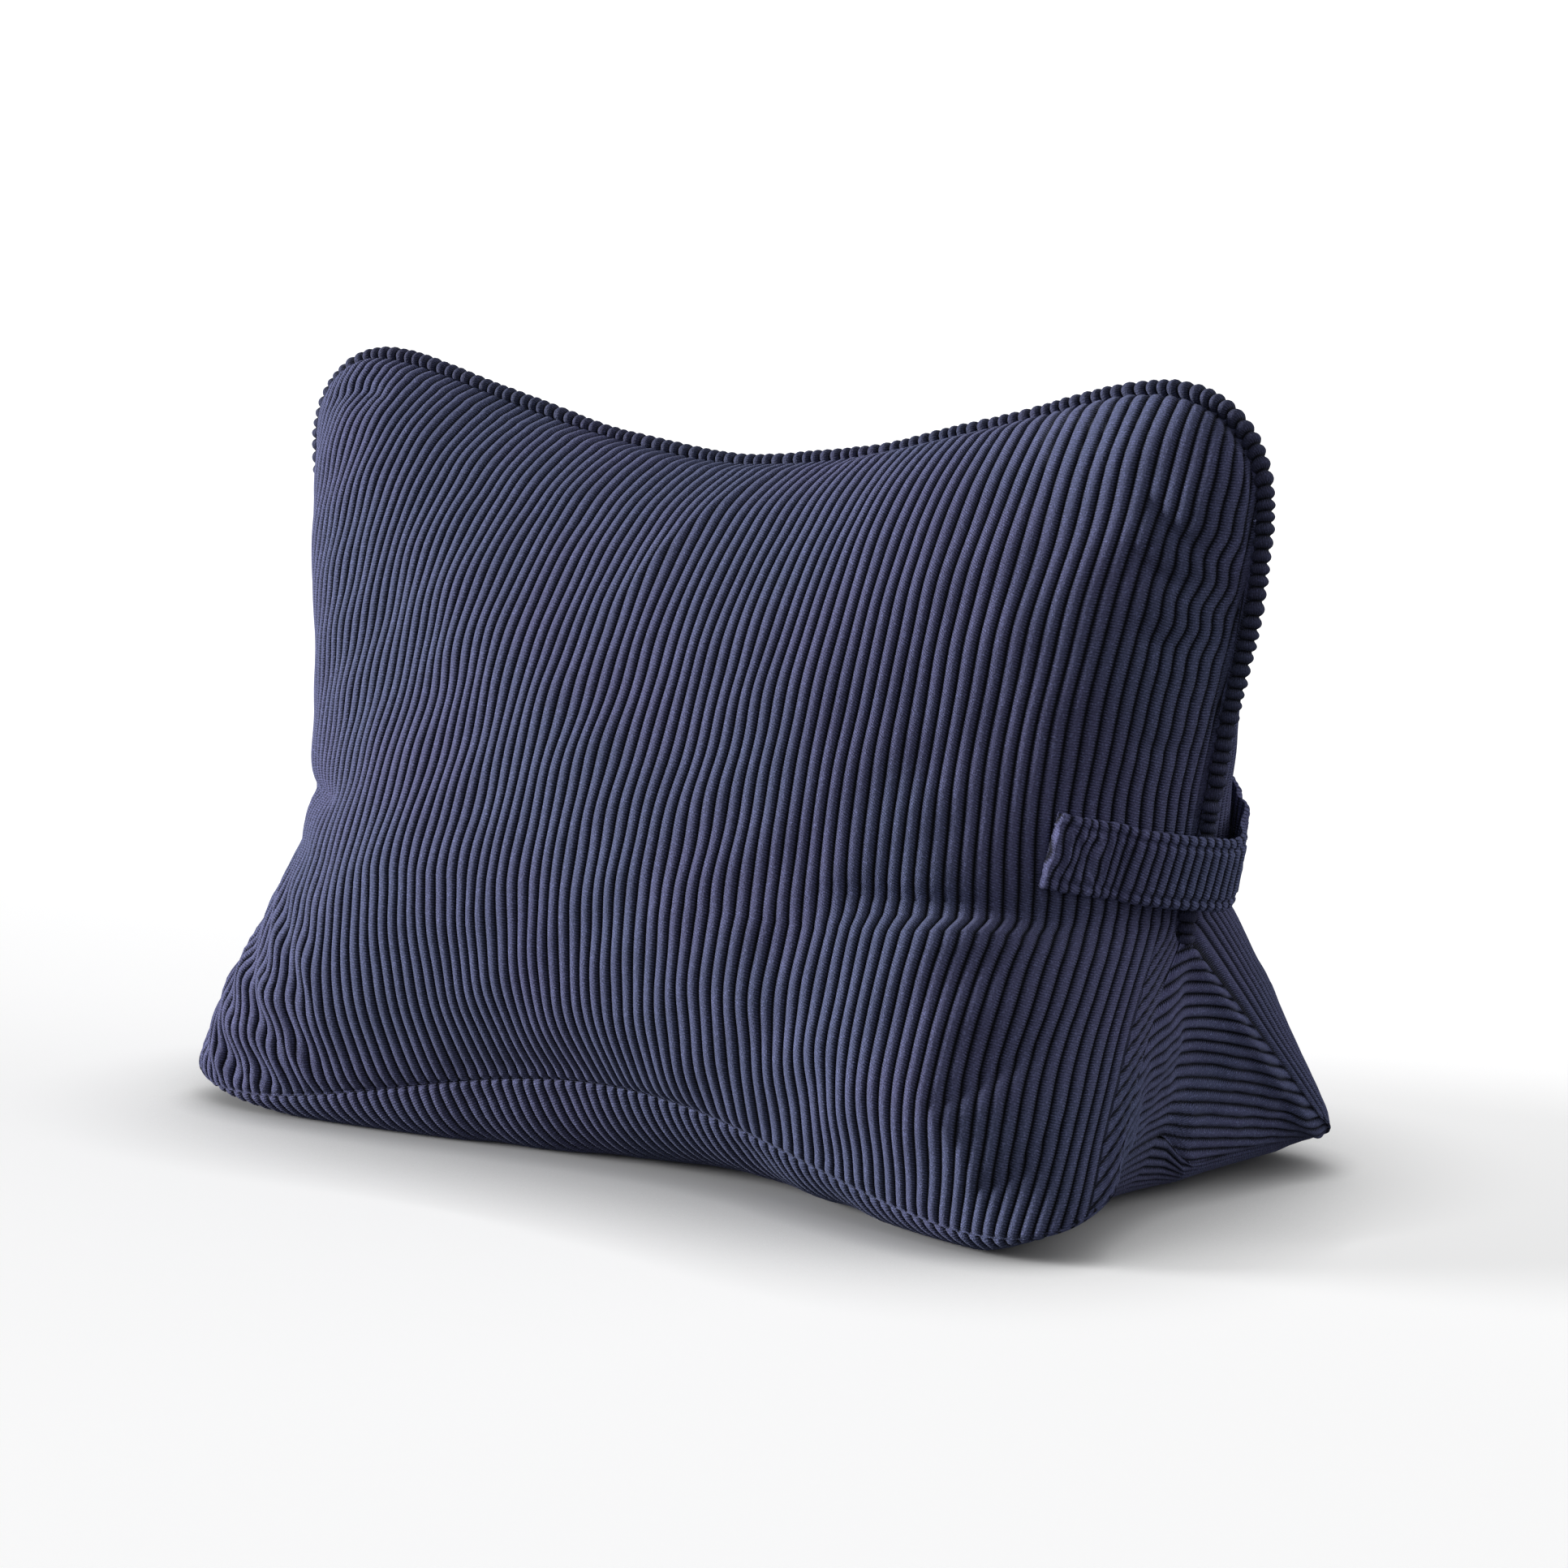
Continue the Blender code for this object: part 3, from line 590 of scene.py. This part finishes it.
# Sizes of the cloth's noises, as shader scales: colour drift, tufts, specks, fuzz.
HUE_SCALE, TUFT_SCALE, SPECK_SCALE, FUZZ_SCALE = 9, 640, 900, 1500
WEAVE_SLANT, WEAVE_JITTER = 4.0, 5.5  # slant and unevenness of the woven rows, as phase
FLANK_RAMP, FLANK_WEAVE = (.2, .8), .30    # the rows are weak on the crest, full on the flanks
SPECK_TONE, SPECK_MIX = 2.3, .55      # pale fibre ends
DASH_SHADE_TONE, DASH_SHADE_MIX = .08, .80        # painted shade in the gaps between the woven rows
# Painted shade: the grooves between the ribs are darkened towards black.
GROOVE_SHADE_TONE, GROOVE_SHADE_MIX, GROOVE_SHADE_TO = .03, .96, .98
ROUGHNESS = (.78, .98)
SHEEN, SHEEN_ROUGHNESS, SHEEN_TINT = .12, .38, (.62, .68, .95)
CLOTH_SPECULAR = .25
WEAVE_BUMP, FUZZ_BUMP, BUMP_STRENGTH, BUMP_DEPTH = .5, .9, .9, .0008


def corduroy(name, painted_light_scale=1.0, weave=1.0, groove_shade_from=.58):
    """Wide-wale corduroy: cut pile with woven rows across each rib. Painted shade darkens the
    grooves and the gaps between the woven rows; the first number makes lighter and darker copies of
    the cloth, painted light and shade.
    """
    n = Nodes(name)
    u, v = n.rib_coordinates()
    across = n.math("MULTIPLY_ADD", n.math("FRACT", u), 2.0, -1.0)
    flank = n.math("ABSOLUTE", across)
    hue, tuft = n.noise(HUE_SCALE, 2), n.noise(TUFT_SCALE, 2)
    speck, fuzz = n.noise(SPECK_SCALE, 1), n.noise(FUZZ_SCALE, 3)
    slant = n.math("MULTIPLY", across, WEAVE_SLANT)
    turn = n.math("MULTIPLY_ADD", v, 2 * math.pi / WEAVE_PITCH, slant)
    rows = n.math("SINE", n.math("MULTIPLY_ADD", tuft, WEAVE_JITTER, turn))
    strong = n.ramp(flank, *FLANK_RAMP, FLANK_WEAVE * weave, 1.0 * weave)
    dash_shade = n.math("MULTIPLY", n.ramp(rows, -.9, .5, 1.0, 0.0), strong)
    colour = n.mix(n.ramp(hue, .35, .65), shaded(PILE_WARM, painted_light_scale), shaded(PILE_COOL, painted_light_scale))
    colour = n.mix(.5, colour, shaded(PILE, painted_light_scale))
    specks = n.ramp(speck, .50, .72, 0.0, SPECK_MIX)
    groove_shade = n.ramp(flank, groove_shade_from, GROOVE_SHADE_TO, 0.0, GROOVE_SHADE_MIX)
    # Pale fibre ends, then painted shade between the woven rows and in the grooves.
    for share, shade in ((specks, SPECK_TONE), (n.math("MULTIPLY", dash_shade, DASH_SHADE_MIX), DASH_SHADE_TONE),
                         (groove_shade, GROOVE_SHADE_TONE)):
        colour = n.mix(share, colour, shaded(PILE, painted_light_scale * shade))
    n.feed(n.shader.inputs["Base Color"], colour)
    n.feed(n.shader.inputs["Roughness"], n.ramp(fuzz, .3, .7, *ROUGHNESS))
    n.feed(n.shader.inputs["Sheen Weight"], SHEEN)
    n.feed(n.shader.inputs["Sheen Roughness"], SHEEN_ROUGHNESS)
    n.feed(n.shader.inputs["Sheen Tint"], rgb(*SHEEN_TINT))
    n.feed(n.shader.inputs["Specular IOR Level"], CLOTH_SPECULAR)
    lift = n.math("MULTIPLY", n.math("MULTIPLY", rows, strong), WEAVE_BUMP)
    n.bump(n.math("MULTIPLY_ADD", fuzz, FUZZ_BUMP, lift), BUMP_STRENGTH, BUMP_DEPTH)
    return n.material


FLOOR_LOW, FLOOR_HIGH = rgb(.38, .38, .385), rgb(.40, .40, .402)
FLOOR_CLOUD, FLOOR_ROUGHNESS, FLOOR_SPECULAR = 1.3, .6, .15
FLOOR_GLOW, FLOOR_FAR = .68, 1.0      # the floor's own brightness near the object and far away
GLOW_FROM, GLOW_TO = -.3, 1.6         # distances to the back between which it changes
SHADE_REACH, SHADE_POWER = (.13, .030), 1.5    # how far off the cushion shades the floor


def floor_finish():
    """A pale floor whose own brightness fades where the cushion shades it."""
    n = Nodes("Floor")
    n.feed(n.shader.inputs["Base Color"], n.mix(n.noise(FLOOR_CLOUD, 3), FLOOR_LOW, FLOOR_HIGH))
    n.feed(n.shader.inputs["Roughness"], FLOOR_ROUGHNESS)
    n.feed(n.shader.inputs["Specular IOR Level"], FLOOR_SPECULAR)
    soft, tight = (n.open_share(reach) for reach in SHADE_REACH)
    split = n.tree.nodes.new("ShaderNodeSeparateXYZ")
    n.tree.links.new(n.tree.nodes.new("ShaderNodeTexCoord").outputs["Object"], split.inputs[0])
    away = n.ramp(split.outputs["Y"], GLOW_FROM, GLOW_TO, FLOOR_GLOW, FLOOR_FAR)
    open_sky = n.math("MULTIPLY", n.math("POWER", soft, SHADE_POWER), tight)
    n.feed(n.shader.inputs["Emission Color"], rgb(1, 1, 1))
    n.feed(n.shader.inputs["Emission Strength"], n.math("MULTIPLY", away, open_sky))
    return n.material


# ---- the pieces --------------------------------------------------------------------------
def row_levels(count, side):
    """Levels of the rows of vertices: even along the panel's middle, closer at the seams."""
    fine = np.linspace(0, 1, 801)
    reach = run_along(panel(np.zeros(1), fine, side)[0])
    ends = np.array(END_ROWS)
    first, last = ends[-1] + END_GAP, reach[-1] - ends[-1] - END_GAP
    inner = np.linspace(first, last, count - 2 * len(ends))
    return np.interp(np.r_[ends, inner, (reach[-1] - ends)[::-1]], reach, fine)


def seam_lines():
    """Fine lines along the front panel's seams: base, left and right gusset, ridge."""
    fine = np.linspace(-1, 1, 2001)
    apex = (APEX_Z - TOE_Z) / (SHOULDER_Z - TOE_Z)
    low = panel(fine, np.zeros(1), -1)[:, 0]
    flanks = panel(np.array([-1., 1.]), np.linspace(0, apex, 200), -1)
    cord = np.vstack([RIDGE_LINE, RIDGE_LINE[-2::-1] * (-1, 1)])
    cord = leftward(np.stack([cord[:, 0], 0 * cord[:, 0], cord[:, 1]], -1))
    return low, flanks, cord


LOW, SIDES, CORD = seam_lines()
TIPS = np.searchsorted(LOW[:, 0], (-TIP_X * (1 + TOE_LONG), TIP_X))


def front_seam():
    """The front panel's stitched seam, from the left apex round the base to the right one."""
    return np.vstack([SIDES[0, ::-1], LOW[::2], SIDES[1]])


def grain(across, z):
    """How many ribs have run out into the cord below this place, on the right side."""
    up = np.clip((z - GRAIN_FROM) / (GRAIN_TO - GRAIN_FROM), 0, 1.2)
    return GRAIN_RIBS * step(across, *GRAIN_ACROSS) * up**GRAIN_CURVE


def feathered(numbers, z):
    """Beside the right gusset the last few ribs run slantwise up into the seam."""
    below = np.clip(APEX_Z - z, 0, None)
    wide = 1 + (FEATHER_WIDE - 1) * step(below, 0, FEATHER_TOP)
    slanted = FEATHER_FROM + (numbers - FEATHER_FROM) * wide + below / FEATHER_RUN
    return np.where(numbers > FEATHER_FROM, slanted, numbers)


def half_cushion(name, side, rows, shares, material):
    """The front or the back half of the filled cushion, with its panel as the outside."""
    number = rib_places(FRONT_RIBS, shares)
    across = number / FRONT_RIBS * 2 - 1
    levels = row_levels(rows, side)
    a, b = np.meshgrid(across, levels, indexing="ij")
    wander = sum(shift * field(a * WANDER_ACROSS, b * WANDER_ALONG, run, seed)
                 for (shift, run), seed in zip(WANDER, (5 + side, 8)))
    if side < 0:
        rough = panel(across, levels, side)
        x, z = rough[..., 0], rough[..., 2]
        ear = step(x, *EAR_X) * np.exp(-((z - EAR_WAVES) / EAR_RUN) ** 2)
        wander = wander + WAVE_SIDE * foot_zone(x, z) * np.cos(foot_phase(x, z, WAVE_SLOW)) \
            + EAR_SHIFT * ear * np.sin(2 * np.pi * (z / EAR_WAVE_Z + x / EAR_WAVE_X))
    wander = wander * 2 / FRONT_RIBS * step(1 - np.abs(a), 0, .05)
    grid = panel(across, levels, side, wander)
    out = normals(grid, (0, side, 0))
    smooth = grid + out * (relief(grid, side) * seam_fade(grid, side))[..., None]
    out = normals(smooth, (0, side, 0))
    seam = front_seam() * (1, -side, 1)
    numbers = np.broadcast_to(number[:, None], a.shape)
    if side < 0:
        numbers = feathered(numbers - grain(a, grid[..., 2]), grid[..., 2])
    shape = ribbed(smooth, out, numbers, seam, CORD)
    uv = np.stack([numbers, length_along(smooth)], -1)
    return cloth(name, shape, uv, material, (0, side, 0), tip=(0, side * .012, .2))


SEAM_CALM, CORD_CALM = (.0005, .011), (.001, .02)


def seam_fade(grid, side):
    """Relief dies out at the seams, so that the neighbouring panels still meet there."""
    return step(nearest(grid, front_seam()[::3] * (1, -side, 1)), *SEAM_CALM) \
        * step(nearest(grid, CORD[::2]), *CORD_CALM)


def gusset_edges(side, shares):
    """The seam of one gusset with the front panel, from the tip to the apex."""
    toe = LOW[TIPS[1]:] if side > 0 else LOW[TIPS[0]::-1]
    flank = SIDES[1 if side > 0 else 0]
    return at_share(np.vstack([toe, flank[1:]]), shares)


LOBE, LOBE_AT, LOBE_RUN = .0060, .007, .006    # the gusset's ribs swell beside the back seam
RIB_RUN = .0085                       # height that one rib of the gusset takes
GUSSET_ROUND = .0065                  # run over which its ribs end rounded
GUSSET_TOP = .995                     # share of its edge at which it stops, just under the apex
GUSSET_LUMPS = ((.0022, .035, 31), (.0007, .014, 37))    # height, size, seed
CREASE, CREASE_Y, CREASE_HALF = .005, .085, .006         # the gusset's upright crease
CREASE_FOOT, CREASE_TOP = (.03, .05), .11
PUFF, PUFF_Y, PUFF_Z, PUFF_RUN = .003, .050, .075, .030  # and the swell in front of it
CALM = (.001, .014)                   # unevenness dies out this near to a seam


def gusset_piece(name, side, material):
    """One gusset: ribs that run level from the front seam to the back one."""
    number = rib_places(GUSSET_RIBS, FINE)
    t = np.linspace(-1, 1, 97)
    t = (t + np.sin(t * np.pi / 2)) / 2
    edge = gusset_edges(side, number / GUSSET_RIBS * GUSSET_TOP)
    grid = gusset(side, edge, t)
    out = normals(grid, (side, 0, 0))
    y, z = grid[..., 1], grid[..., 2]
    seam = np.vstack([edge, edge * (1, -1, 1), grid[0]])
    lumps = sum(height * field(y, z, size, seed + side) for height, size, seed in GUSSET_LUMPS)
    crease = np.exp(-((y - CREASE_Y) / CREASE_HALF) ** 2) * step(z, *CREASE_FOOT)
    puff = np.exp(-((y - PUFF_Y) ** 2 + (z - PUFF_Z) ** 2) / PUFF_RUN**2)
    lobe = np.exp(-((nearest(grid, edge * (1, -1, 1)) - LOBE_AT) / LOBE_RUN) ** 2)
    lumps = lumps - CREASE * crease * (z < CREASE_TOP) + PUFF * puff + LOBE * lobe
    grid = grid + out * (lumps * step(nearest(grid, seam), *CALM))[..., None]
    out = normals(grid, (side, 0, 0))
    numbers = number[:, None] - hanging(edge, t) / RIB_RUN
    shape = ribbed(grid, out, numbers, seam, run=GUSSET_ROUND)
    uv = np.stack([numbers, length_along(grid)], -1)
    return cloth(name, shape, uv, material, (side, 0, 0))


BASE_LUMP, BASE_LUMP_SIZE = .0012, .05    # depth and size of the hollows in the base
FLOOR_CLEAR = .0002                   # the lowest cloth stays this far above the floor


def base_piece(name, material):
    """The base panel: its ribs run from the front seam under the cushion to the back one."""
    number = rib_places(BASE_RIBS, COARSE)
    rolled = np.linspace(FLAT_SHARE, 1, 34)[1:-1]
    beside = np.array((.97, .985, .994, 1))
    t = np.r_[-beside, -rolled, np.linspace(-FLAT_SHARE, FLAT_SHARE, 12), rolled, beside]
    t = np.unique(np.round(t, 5))
    seam = at_share(LOW[TIPS[0]: TIPS[1] + 1], number / BASE_RIBS)
    ends = [gusset(s, gusset_edges(s, np.linspace(0, 1, 400)), t)[0] for s in (-1, 1)]
    grid = base(seam, ends, t)
    out = normals(grid, (0, 0, -1))
    edge = np.vstack([seam, seam * (1, -1, 1), ends[0], ends[1]])
    lumps = np.minimum(BASE_LUMP * field(grid[..., 0], grid[..., 1], BASE_LUMP_SIZE, 41), 0)
    grid = grid + out * (lumps * step(nearest(grid, edge), *CALM))[..., None]
    numbers = np.broadcast_to(number[:, None], grid.shape[:2])
    shape = ribbed(grid, normals(grid, (0, 0, -1)), numbers, edge)
    shape[..., 2] = np.maximum(shape[..., 2], FLOOR_CLEAR)
    uv = np.stack([numbers, length_along(grid)], -1)
    return cloth(name, shape, uv, material, (0, 0, -1))


def piping_piece(name, material):
    """The corded ridge seam: a bead for each rib that wraps round the cord."""
    line = np.vstack([CORD[:1] - (0, 0, CORD_TUCK), CORD, CORD[-1:] - (0, 0, CORD_TUCK)])
    beads = round(run_along(line)[-1] / BEAD_PITCH)
    number = np.linspace(0, beads, beads * BEAD_ROWS + 1)
    uneven = BEAD_DRIFT * np.sin(number * .9) * np.sin(number * .37 + 1)
    centre = at_share(line, number / beads)
    along = unit(np.gradient(centre, axis=0))
    side = np.broadcast_to(np.array((0., 1., 0.)), centre.shape)
    up = np.cross(along, side)
    right_low = step(centre[:, 0], *CORD_WAVE_X) \
        * np.exp(-((centre[:, 2] - CORD_WAVE_Z) / CORD_WAVE_RUN) ** 2)
    reach = run_along(centre)
    (far, pitch), (high, rise_pitch) = CORD_WAVE_OUT, CORD_WAVE_UP
    strays = right_low * far * np.sin(reach * 2 * np.pi / pitch)
    rises = right_low * high * np.sin(reach * 2 * np.pi / rise_pitch + 1) \
        + CORD_WAVER * np.sin(reach * CORD_WAVER_RATE) - CORD_LOWER
    centre = centre + side * strays[:, None] + up * rises[:, None]
    angle = np.linspace(0, 2 * np.pi, BEAD_SIDES, endpoint=False)
    twist = BEAD_TWIST * np.sin(angle + .8)
    place = (number + uneven)[:, None] + twist
    each = np.random.default_rng(3).uniform(*BEAD_SIZES, beads + 4)
    size = each[np.clip(np.floor(place).astype(int), 0, beads + 3)]
    bead = np.abs(np.sin(np.pi * place)) ** BEAD_ROUND
    radius = BEAD_WAIST + (BEAD_R - BEAD_WAIST) * bead * size
    coords = np.stack([place, np.broadcast_to(angle * BEAD_R, place.shape)], -1)
    return tube(name, centre, side, up, radius, coords, material)


def panel_y(places):
    """The y at which the front panel's crests lie behind each place, on its right half."""
    grid = panel(np.linspace(.3, 1, 240), np.linspace(.2, .7, 120), -1)
    out = normals(grid, (0, -1, 0))
    grid = grid + out * (relief(grid, -1) + RIB_RISE)[..., None]
    found = []
    for x, _, z in places:
        at_z = [[np.interp(z, column[:, 2], column[:, k]) for k in (0, 1)] for column in grid]
        found.append(np.interp(x, *np.array(at_z).T))
    return np.array(found)


def strap_edges():
    """The strap's lower and upper inner edge, from its front end round to its back end."""
    lean = np.array([STRAP_LEAN, 0, 1]) / math.hypot(STRAP_LEAN, 1) * STRAP_W / 2
    route = np.array(HANDLE)
    lies = np.abs(route[:, 1]) > ON_PANEL
    route[lies, 1] = -np.sign(route[lies, 1]) * panel_y(route[lies])
    centre = through(route, 6)
    low, high = centre - lean, centre + lean
    under = [-panel_y(line) for line in (low, centre, high)]
    crown = np.maximum(0, under[1] - (under[0] + under[2]) / 2)
    for edge, least in ((low, under[0]), (high, under[2])):
        least = least + crown + STRAP_SEAT * .4
        edge[:, 1] = np.sign(edge[:, 1]) * np.maximum(np.abs(edge[:, 1]), least)
    return low, high


STITCH_LINE, STITCH_HALF = .73, .055  # topstitching, as a share of the strap's half width
SEWN_RUN, SEWN_FADE = .031, .004      # length of strap that is stitched down at each end
BAR, BAR_HALF, BAR_WIDE = .0085, .0012, .8    # the bar across its end: place, half width, reach
CROSS_HALF = .13                      # half width of the crossed seams
ROLLED, ROLL_UP, TIP_ROUND = .0055, .0013, .0045     # the strap's turned end
STRAP_PILE, STRAP_LOBE, LOBE_FROM = .0026, .0014, .75
STRAP_SKEW, SEWN_SKEW = -.25, .20     # how its ribs slant, in ribs, and stray where sewn
STRAP_ROUGH, ROUGH_SIZE, SKEW_SIZE, ROUGH_ACROSS = .0005, .004, .012, .02
FRAY, FRAY_RUN = .0002, .003
STRAP_LIFT, SEWN_LIFT = .0007, .0003  # clear of the panel's crests
FACE_SHARE, BACK_THICK, BACK_PILE = .55, .0003, .0002
PINCH_CLOTH, PINCH_PILE, CROSS_PINCH = .35, .75, .9    # how far stitches press the cloth down
RIM, STATION_BUNCH = 10, .8           # squareness of the strap's edges; spacing of its vertices
LOBE_MEAN, ROUGH_LOOSE = .6, .3


def stitching(end, across):
    """0 to 1 where the strap's stitches pinch it: both edges, and a crossed box at each end."""
    edges = np.exp(-((np.abs(across) - STITCH_LINE) / STITCH_HALF) ** 2)
    bars = sum(np.exp(-((end - place) / BAR_HALF) ** 2) for place in (BAR, SEWN_RUN))
    box = np.clip((end - BAR) / (SEWN_RUN - BAR), 0, 1)
    cross = np.exp(-((np.abs(across) / STITCH_LINE - np.abs(2 * box - 1)) / CROSS_HALF) ** 2) \
        * (box > 0) * (box < 1) * (np.abs(across) < STITCH_LINE)
    inner = np.maximum(np.clip(bars, 0, 1) * (np.abs(across) < BAR_WIDE), CROSS_PINCH * cross)
    return np.clip(np.maximum(edges, inner), 0, 1)


def strap_piece(name, material):
    """The handle: a ribbed strap, closed all round, stitched down at both ends."""
    low, high = strap_edges()
    number = rib_places(STRAP_RIBS, FINE)
    low, high = (at_share(edge, number / STRAP_RIBS) for edge in (low, high))
    middle = (low + high) / 2
    reach = run_along(middle)
    out = unit(np.cross(np.gradient(middle, axis=0), high - low))
    out = out * np.sign(out[len(out) // 2, 0])
    w = np.sin(np.linspace(-np.pi / 2, np.pi / 2, 33))
    w = np.sign(w) * np.abs(w) ** STATION_BUNCH
    s, across = np.meshgrid(reach, w, indexing="ij")
    end = np.minimum(s, reach[-1] - s)
    sewn = 1 - step(end, SEWN_RUN - SEWN_FADE, SEWN_RUN + SEWN_FADE)
    pinch = stitching(end, across)
    numbers = number[:, None] + STRAP_SKEW * across \
        + SEWN_SKEW * sewn * field(s, across * ROUGH_ACROSS, SKEW_SIZE, 51)
    wale = rib(numbers)
    rim = np.sqrt(1 - np.abs(across) ** RIM) * rounded(end, TIP_ROUND)
    rough = STRAP_ROUGH * field(s, across * ROUGH_ACROSS, ROUGH_SIZE, 53)
    roll = ROLL_UP * np.exp(-((end - ROLLED / 2) / (ROLLED / 2)) ** 2)
    rough = rough * (ROUGH_LOOSE + sewn) * (1 - pinch)
    pile = STRAP_PILE * wale * (1 - PINCH_PILE * pinch) + rough + roll
    face = (STRAP_T * FACE_SHARE * (1 - PINCH_CLOTH * pinch) + pile) * rim
    back = -(BACK_THICK + BACK_PILE * wale) * rim
    flat = low[:, None] + (high - low)[:, None] * ((w + 1) / 2)[:, None]
    lobes = STRAP_LOBE * (wale - LOBE_MEAN) * step(np.abs(across), LOBE_FROM, 1) * np.sign(across)
    flat = flat + unit(high - low)[:, None] * lobes[..., None]
    fray = np.random.default_rng(9).normal(0, FRAY, (2, len(w)))
    along = unit(np.gradient(middle, axis=0))[:, None]
    near = np.exp(-end / FRAY_RUN)[..., None]
    flat = flat - along * near * np.where(s < reach[-1] / 2, fray[0], fray[1])[..., None]
    lift = STRAP_LIFT + SEWN_LIFT * sewn
    outer, inner = (flat + out[:, None] * (lift + side)[..., None] for side in (face, back))
    loop, rib_at, v = (np.concatenate([first, second[:, -2:0:-1]], 1) for first, second in
                       ((outer, inner), (numbers, numbers), (across, across)))
    coords = np.stack([rib_at, v * STRAP_W / 2], -1)
    stations, sides = loop.shape[:2]
    index = np.arange(stations * sides).reshape(stations, sides)
    after = np.roll(index, -1, axis=1)
    faces = np.stack([index[:-1], index[1:], after[1:], after[:-1]], -1).reshape(-1, 4).tolist()
    faces += [index[0].tolist(), index[-1, ::-1].tolist()]
    return mesh_object(name, loop.reshape(-1, 3), faces, coords.reshape(-1, 2), material)


def ride_as(piece, slot, *nodes):
    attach(piece, "root")
    if nodes:
        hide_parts(*nodes)


def build_cushion():
    front = half_cushion("front_panel", -1, 128, FINE, corduroy("CorduroyFront"))
    ride_as(front, "corduroy", "cushion_body")
    back = half_cushion("back_panel", 1, 120, COARSE, corduroy("CorduroyBack"))
    ride_as(back, "corduroy", "cushion_body")
    # The base's cloth is a darker copy: painted shade under the cushion.
    under = base_piece("base_cloth", corduroy("CorduroyBase", .85))
    ride_as(under, "corduroy_base", "base_panel")
    for side, word in ((-1, "left"), (1, "right")):
        # The gussets' cloth is a lighter copy: painted light on their shaded sides.
        lit_gusset_cloth = corduroy(f"CorduroyGusset_{word}", 1.1, 1.0, .56)
        cut = gusset_piece(f"gusset_cloth_{word}", side, lit_gusset_cloth)
        ride_as(cut, "corduroy_gusset", f"gusset_{word}")
    # The piping's cloth is a darker copy: painted shade.
    cord = piping_piece("ridge_piping", corduroy("CorduroyPiping", .52, .8, .66))
    ride_as(cord, "corduroy_piping", "piping")
    # The strap's cloth is a lighter copy: painted light.
    strap = strap_piece("handle_strap", corduroy("CorduroyStrap", 1.25, 1.0, .52))
    ride_as(strap, "corduroy_handle", "handle")


# ---- floor, light, camera ----------------------------------------------------------------
# Lights: azimuth, elevation, softness in degrees, power.
SUNS = {"Key": (-64, 13, 20, 5.7), "Fill": (44, 20, 60, .48), "Rim": (130, 28, 60, 1.0)}
SKY_ABOVE, SKY_BELOW = .075, .05      # light from above and from below the horizon
SKY_FROM, SKY_TO, SKY_COLOUR = -.25, .35, (.93, .96, 1, 1)
BACKDROP_AT, STAGE_REACH = 9.0, 40


def direction(azimuth, elevation):
    a, e = math.radians(azimuth), math.radians(elevation)
    return Vector((math.sin(a) * math.cos(e), -math.cos(a) * math.cos(e), math.sin(e)))


def plane(name, corners, material):
    """A stage piece that the object's light doesn't bounce off."""
    mesh = bpy.data.meshes.new(name)
    mesh.from_pydata(corners, [], [(0, 1, 2, 3)])
    mesh.materials.append(material)
    thing = bpy.data.objects.new(name, mesh)
    bpy.context.collection.objects.link(thing)
    thing.visible_diffuse = thing.visible_glossy = thing.visible_shadow = False
    return thing


def build_stage():
    reach = STAGE_REACH
    corners = [(-reach, -reach, 0), (reach, -reach, 0), (reach, reach, 0), (-reach, reach, 0)]
    plane("Floor", corners, floor_finish())
    white = Nodes("Backdrop")
    white.feed(white.shader.inputs["Emission Color"], rgb(1, 1, 1))
    white.feed(white.shader.inputs["Emission Strength"], 1.0)
    away = -direction(AZIMUTH, 0) * BACKDROP_AT
    across = Vector((away.y, -away.x, 0)).normalized() * reach / 2
    up = Vector((0, 0, reach / 2))
    plane("Backdrop", [away - across, away + across, away + across + up, away - across + up],
          white.material)

    world = bpy.data.worlds.new("Studio")
    world.use_nodes = True
    tree = world.node_tree
    split = tree.nodes.new("ShaderNodeSeparateXYZ")
    height = tree.nodes.new("ShaderNodeMapRange")
    tree.links.new(tree.nodes.new("ShaderNodeTexCoord").outputs["Generated"], split.inputs[0])
    tree.links.new(split.outputs["Z"], height.inputs["Value"])
    for socket, value in zip(height.inputs[1:5], (SKY_FROM, SKY_TO, SKY_BELOW, SKY_ABOVE)):
        socket.default_value = value
    tree.links.new(height.outputs[0], tree.nodes["Background"].inputs["Strength"])
    tree.nodes["Background"].inputs["Color"].default_value = SKY_COLOUR
    bpy.context.scene.world = world

    for name, (azimuth, elevation, soft, power) in SUNS.items():
        sun = bpy.data.lights.new(name, "SUN")
        sun.energy, sun.angle = power, math.radians(soft)
        light = bpy.data.objects.new(name, sun)
        light.rotation_euler = direction(azimuth, elevation).to_track_quat("Z", "Y").to_euler()
        bpy.context.collection.objects.link(light)


def build_camera():
    camera = bpy.data.cameras.new("Camera")
    camera.lens, camera.sensor_width = LENS, 36
    thing = bpy.data.objects.new("Camera", camera)
    back = direction(AZIMUTH, ELEVATION)
    thing.location = TARGET + back * DISTANCE
    thing.rotation_euler = back.to_track_quat("Z", "Y").to_euler()
    bpy.context.collection.objects.link(thing)
    bpy.context.scene.camera = thing


build_cushion()
build_stage()
build_camera()
bpy.context.scene.view_settings.view_transform = "Standard"
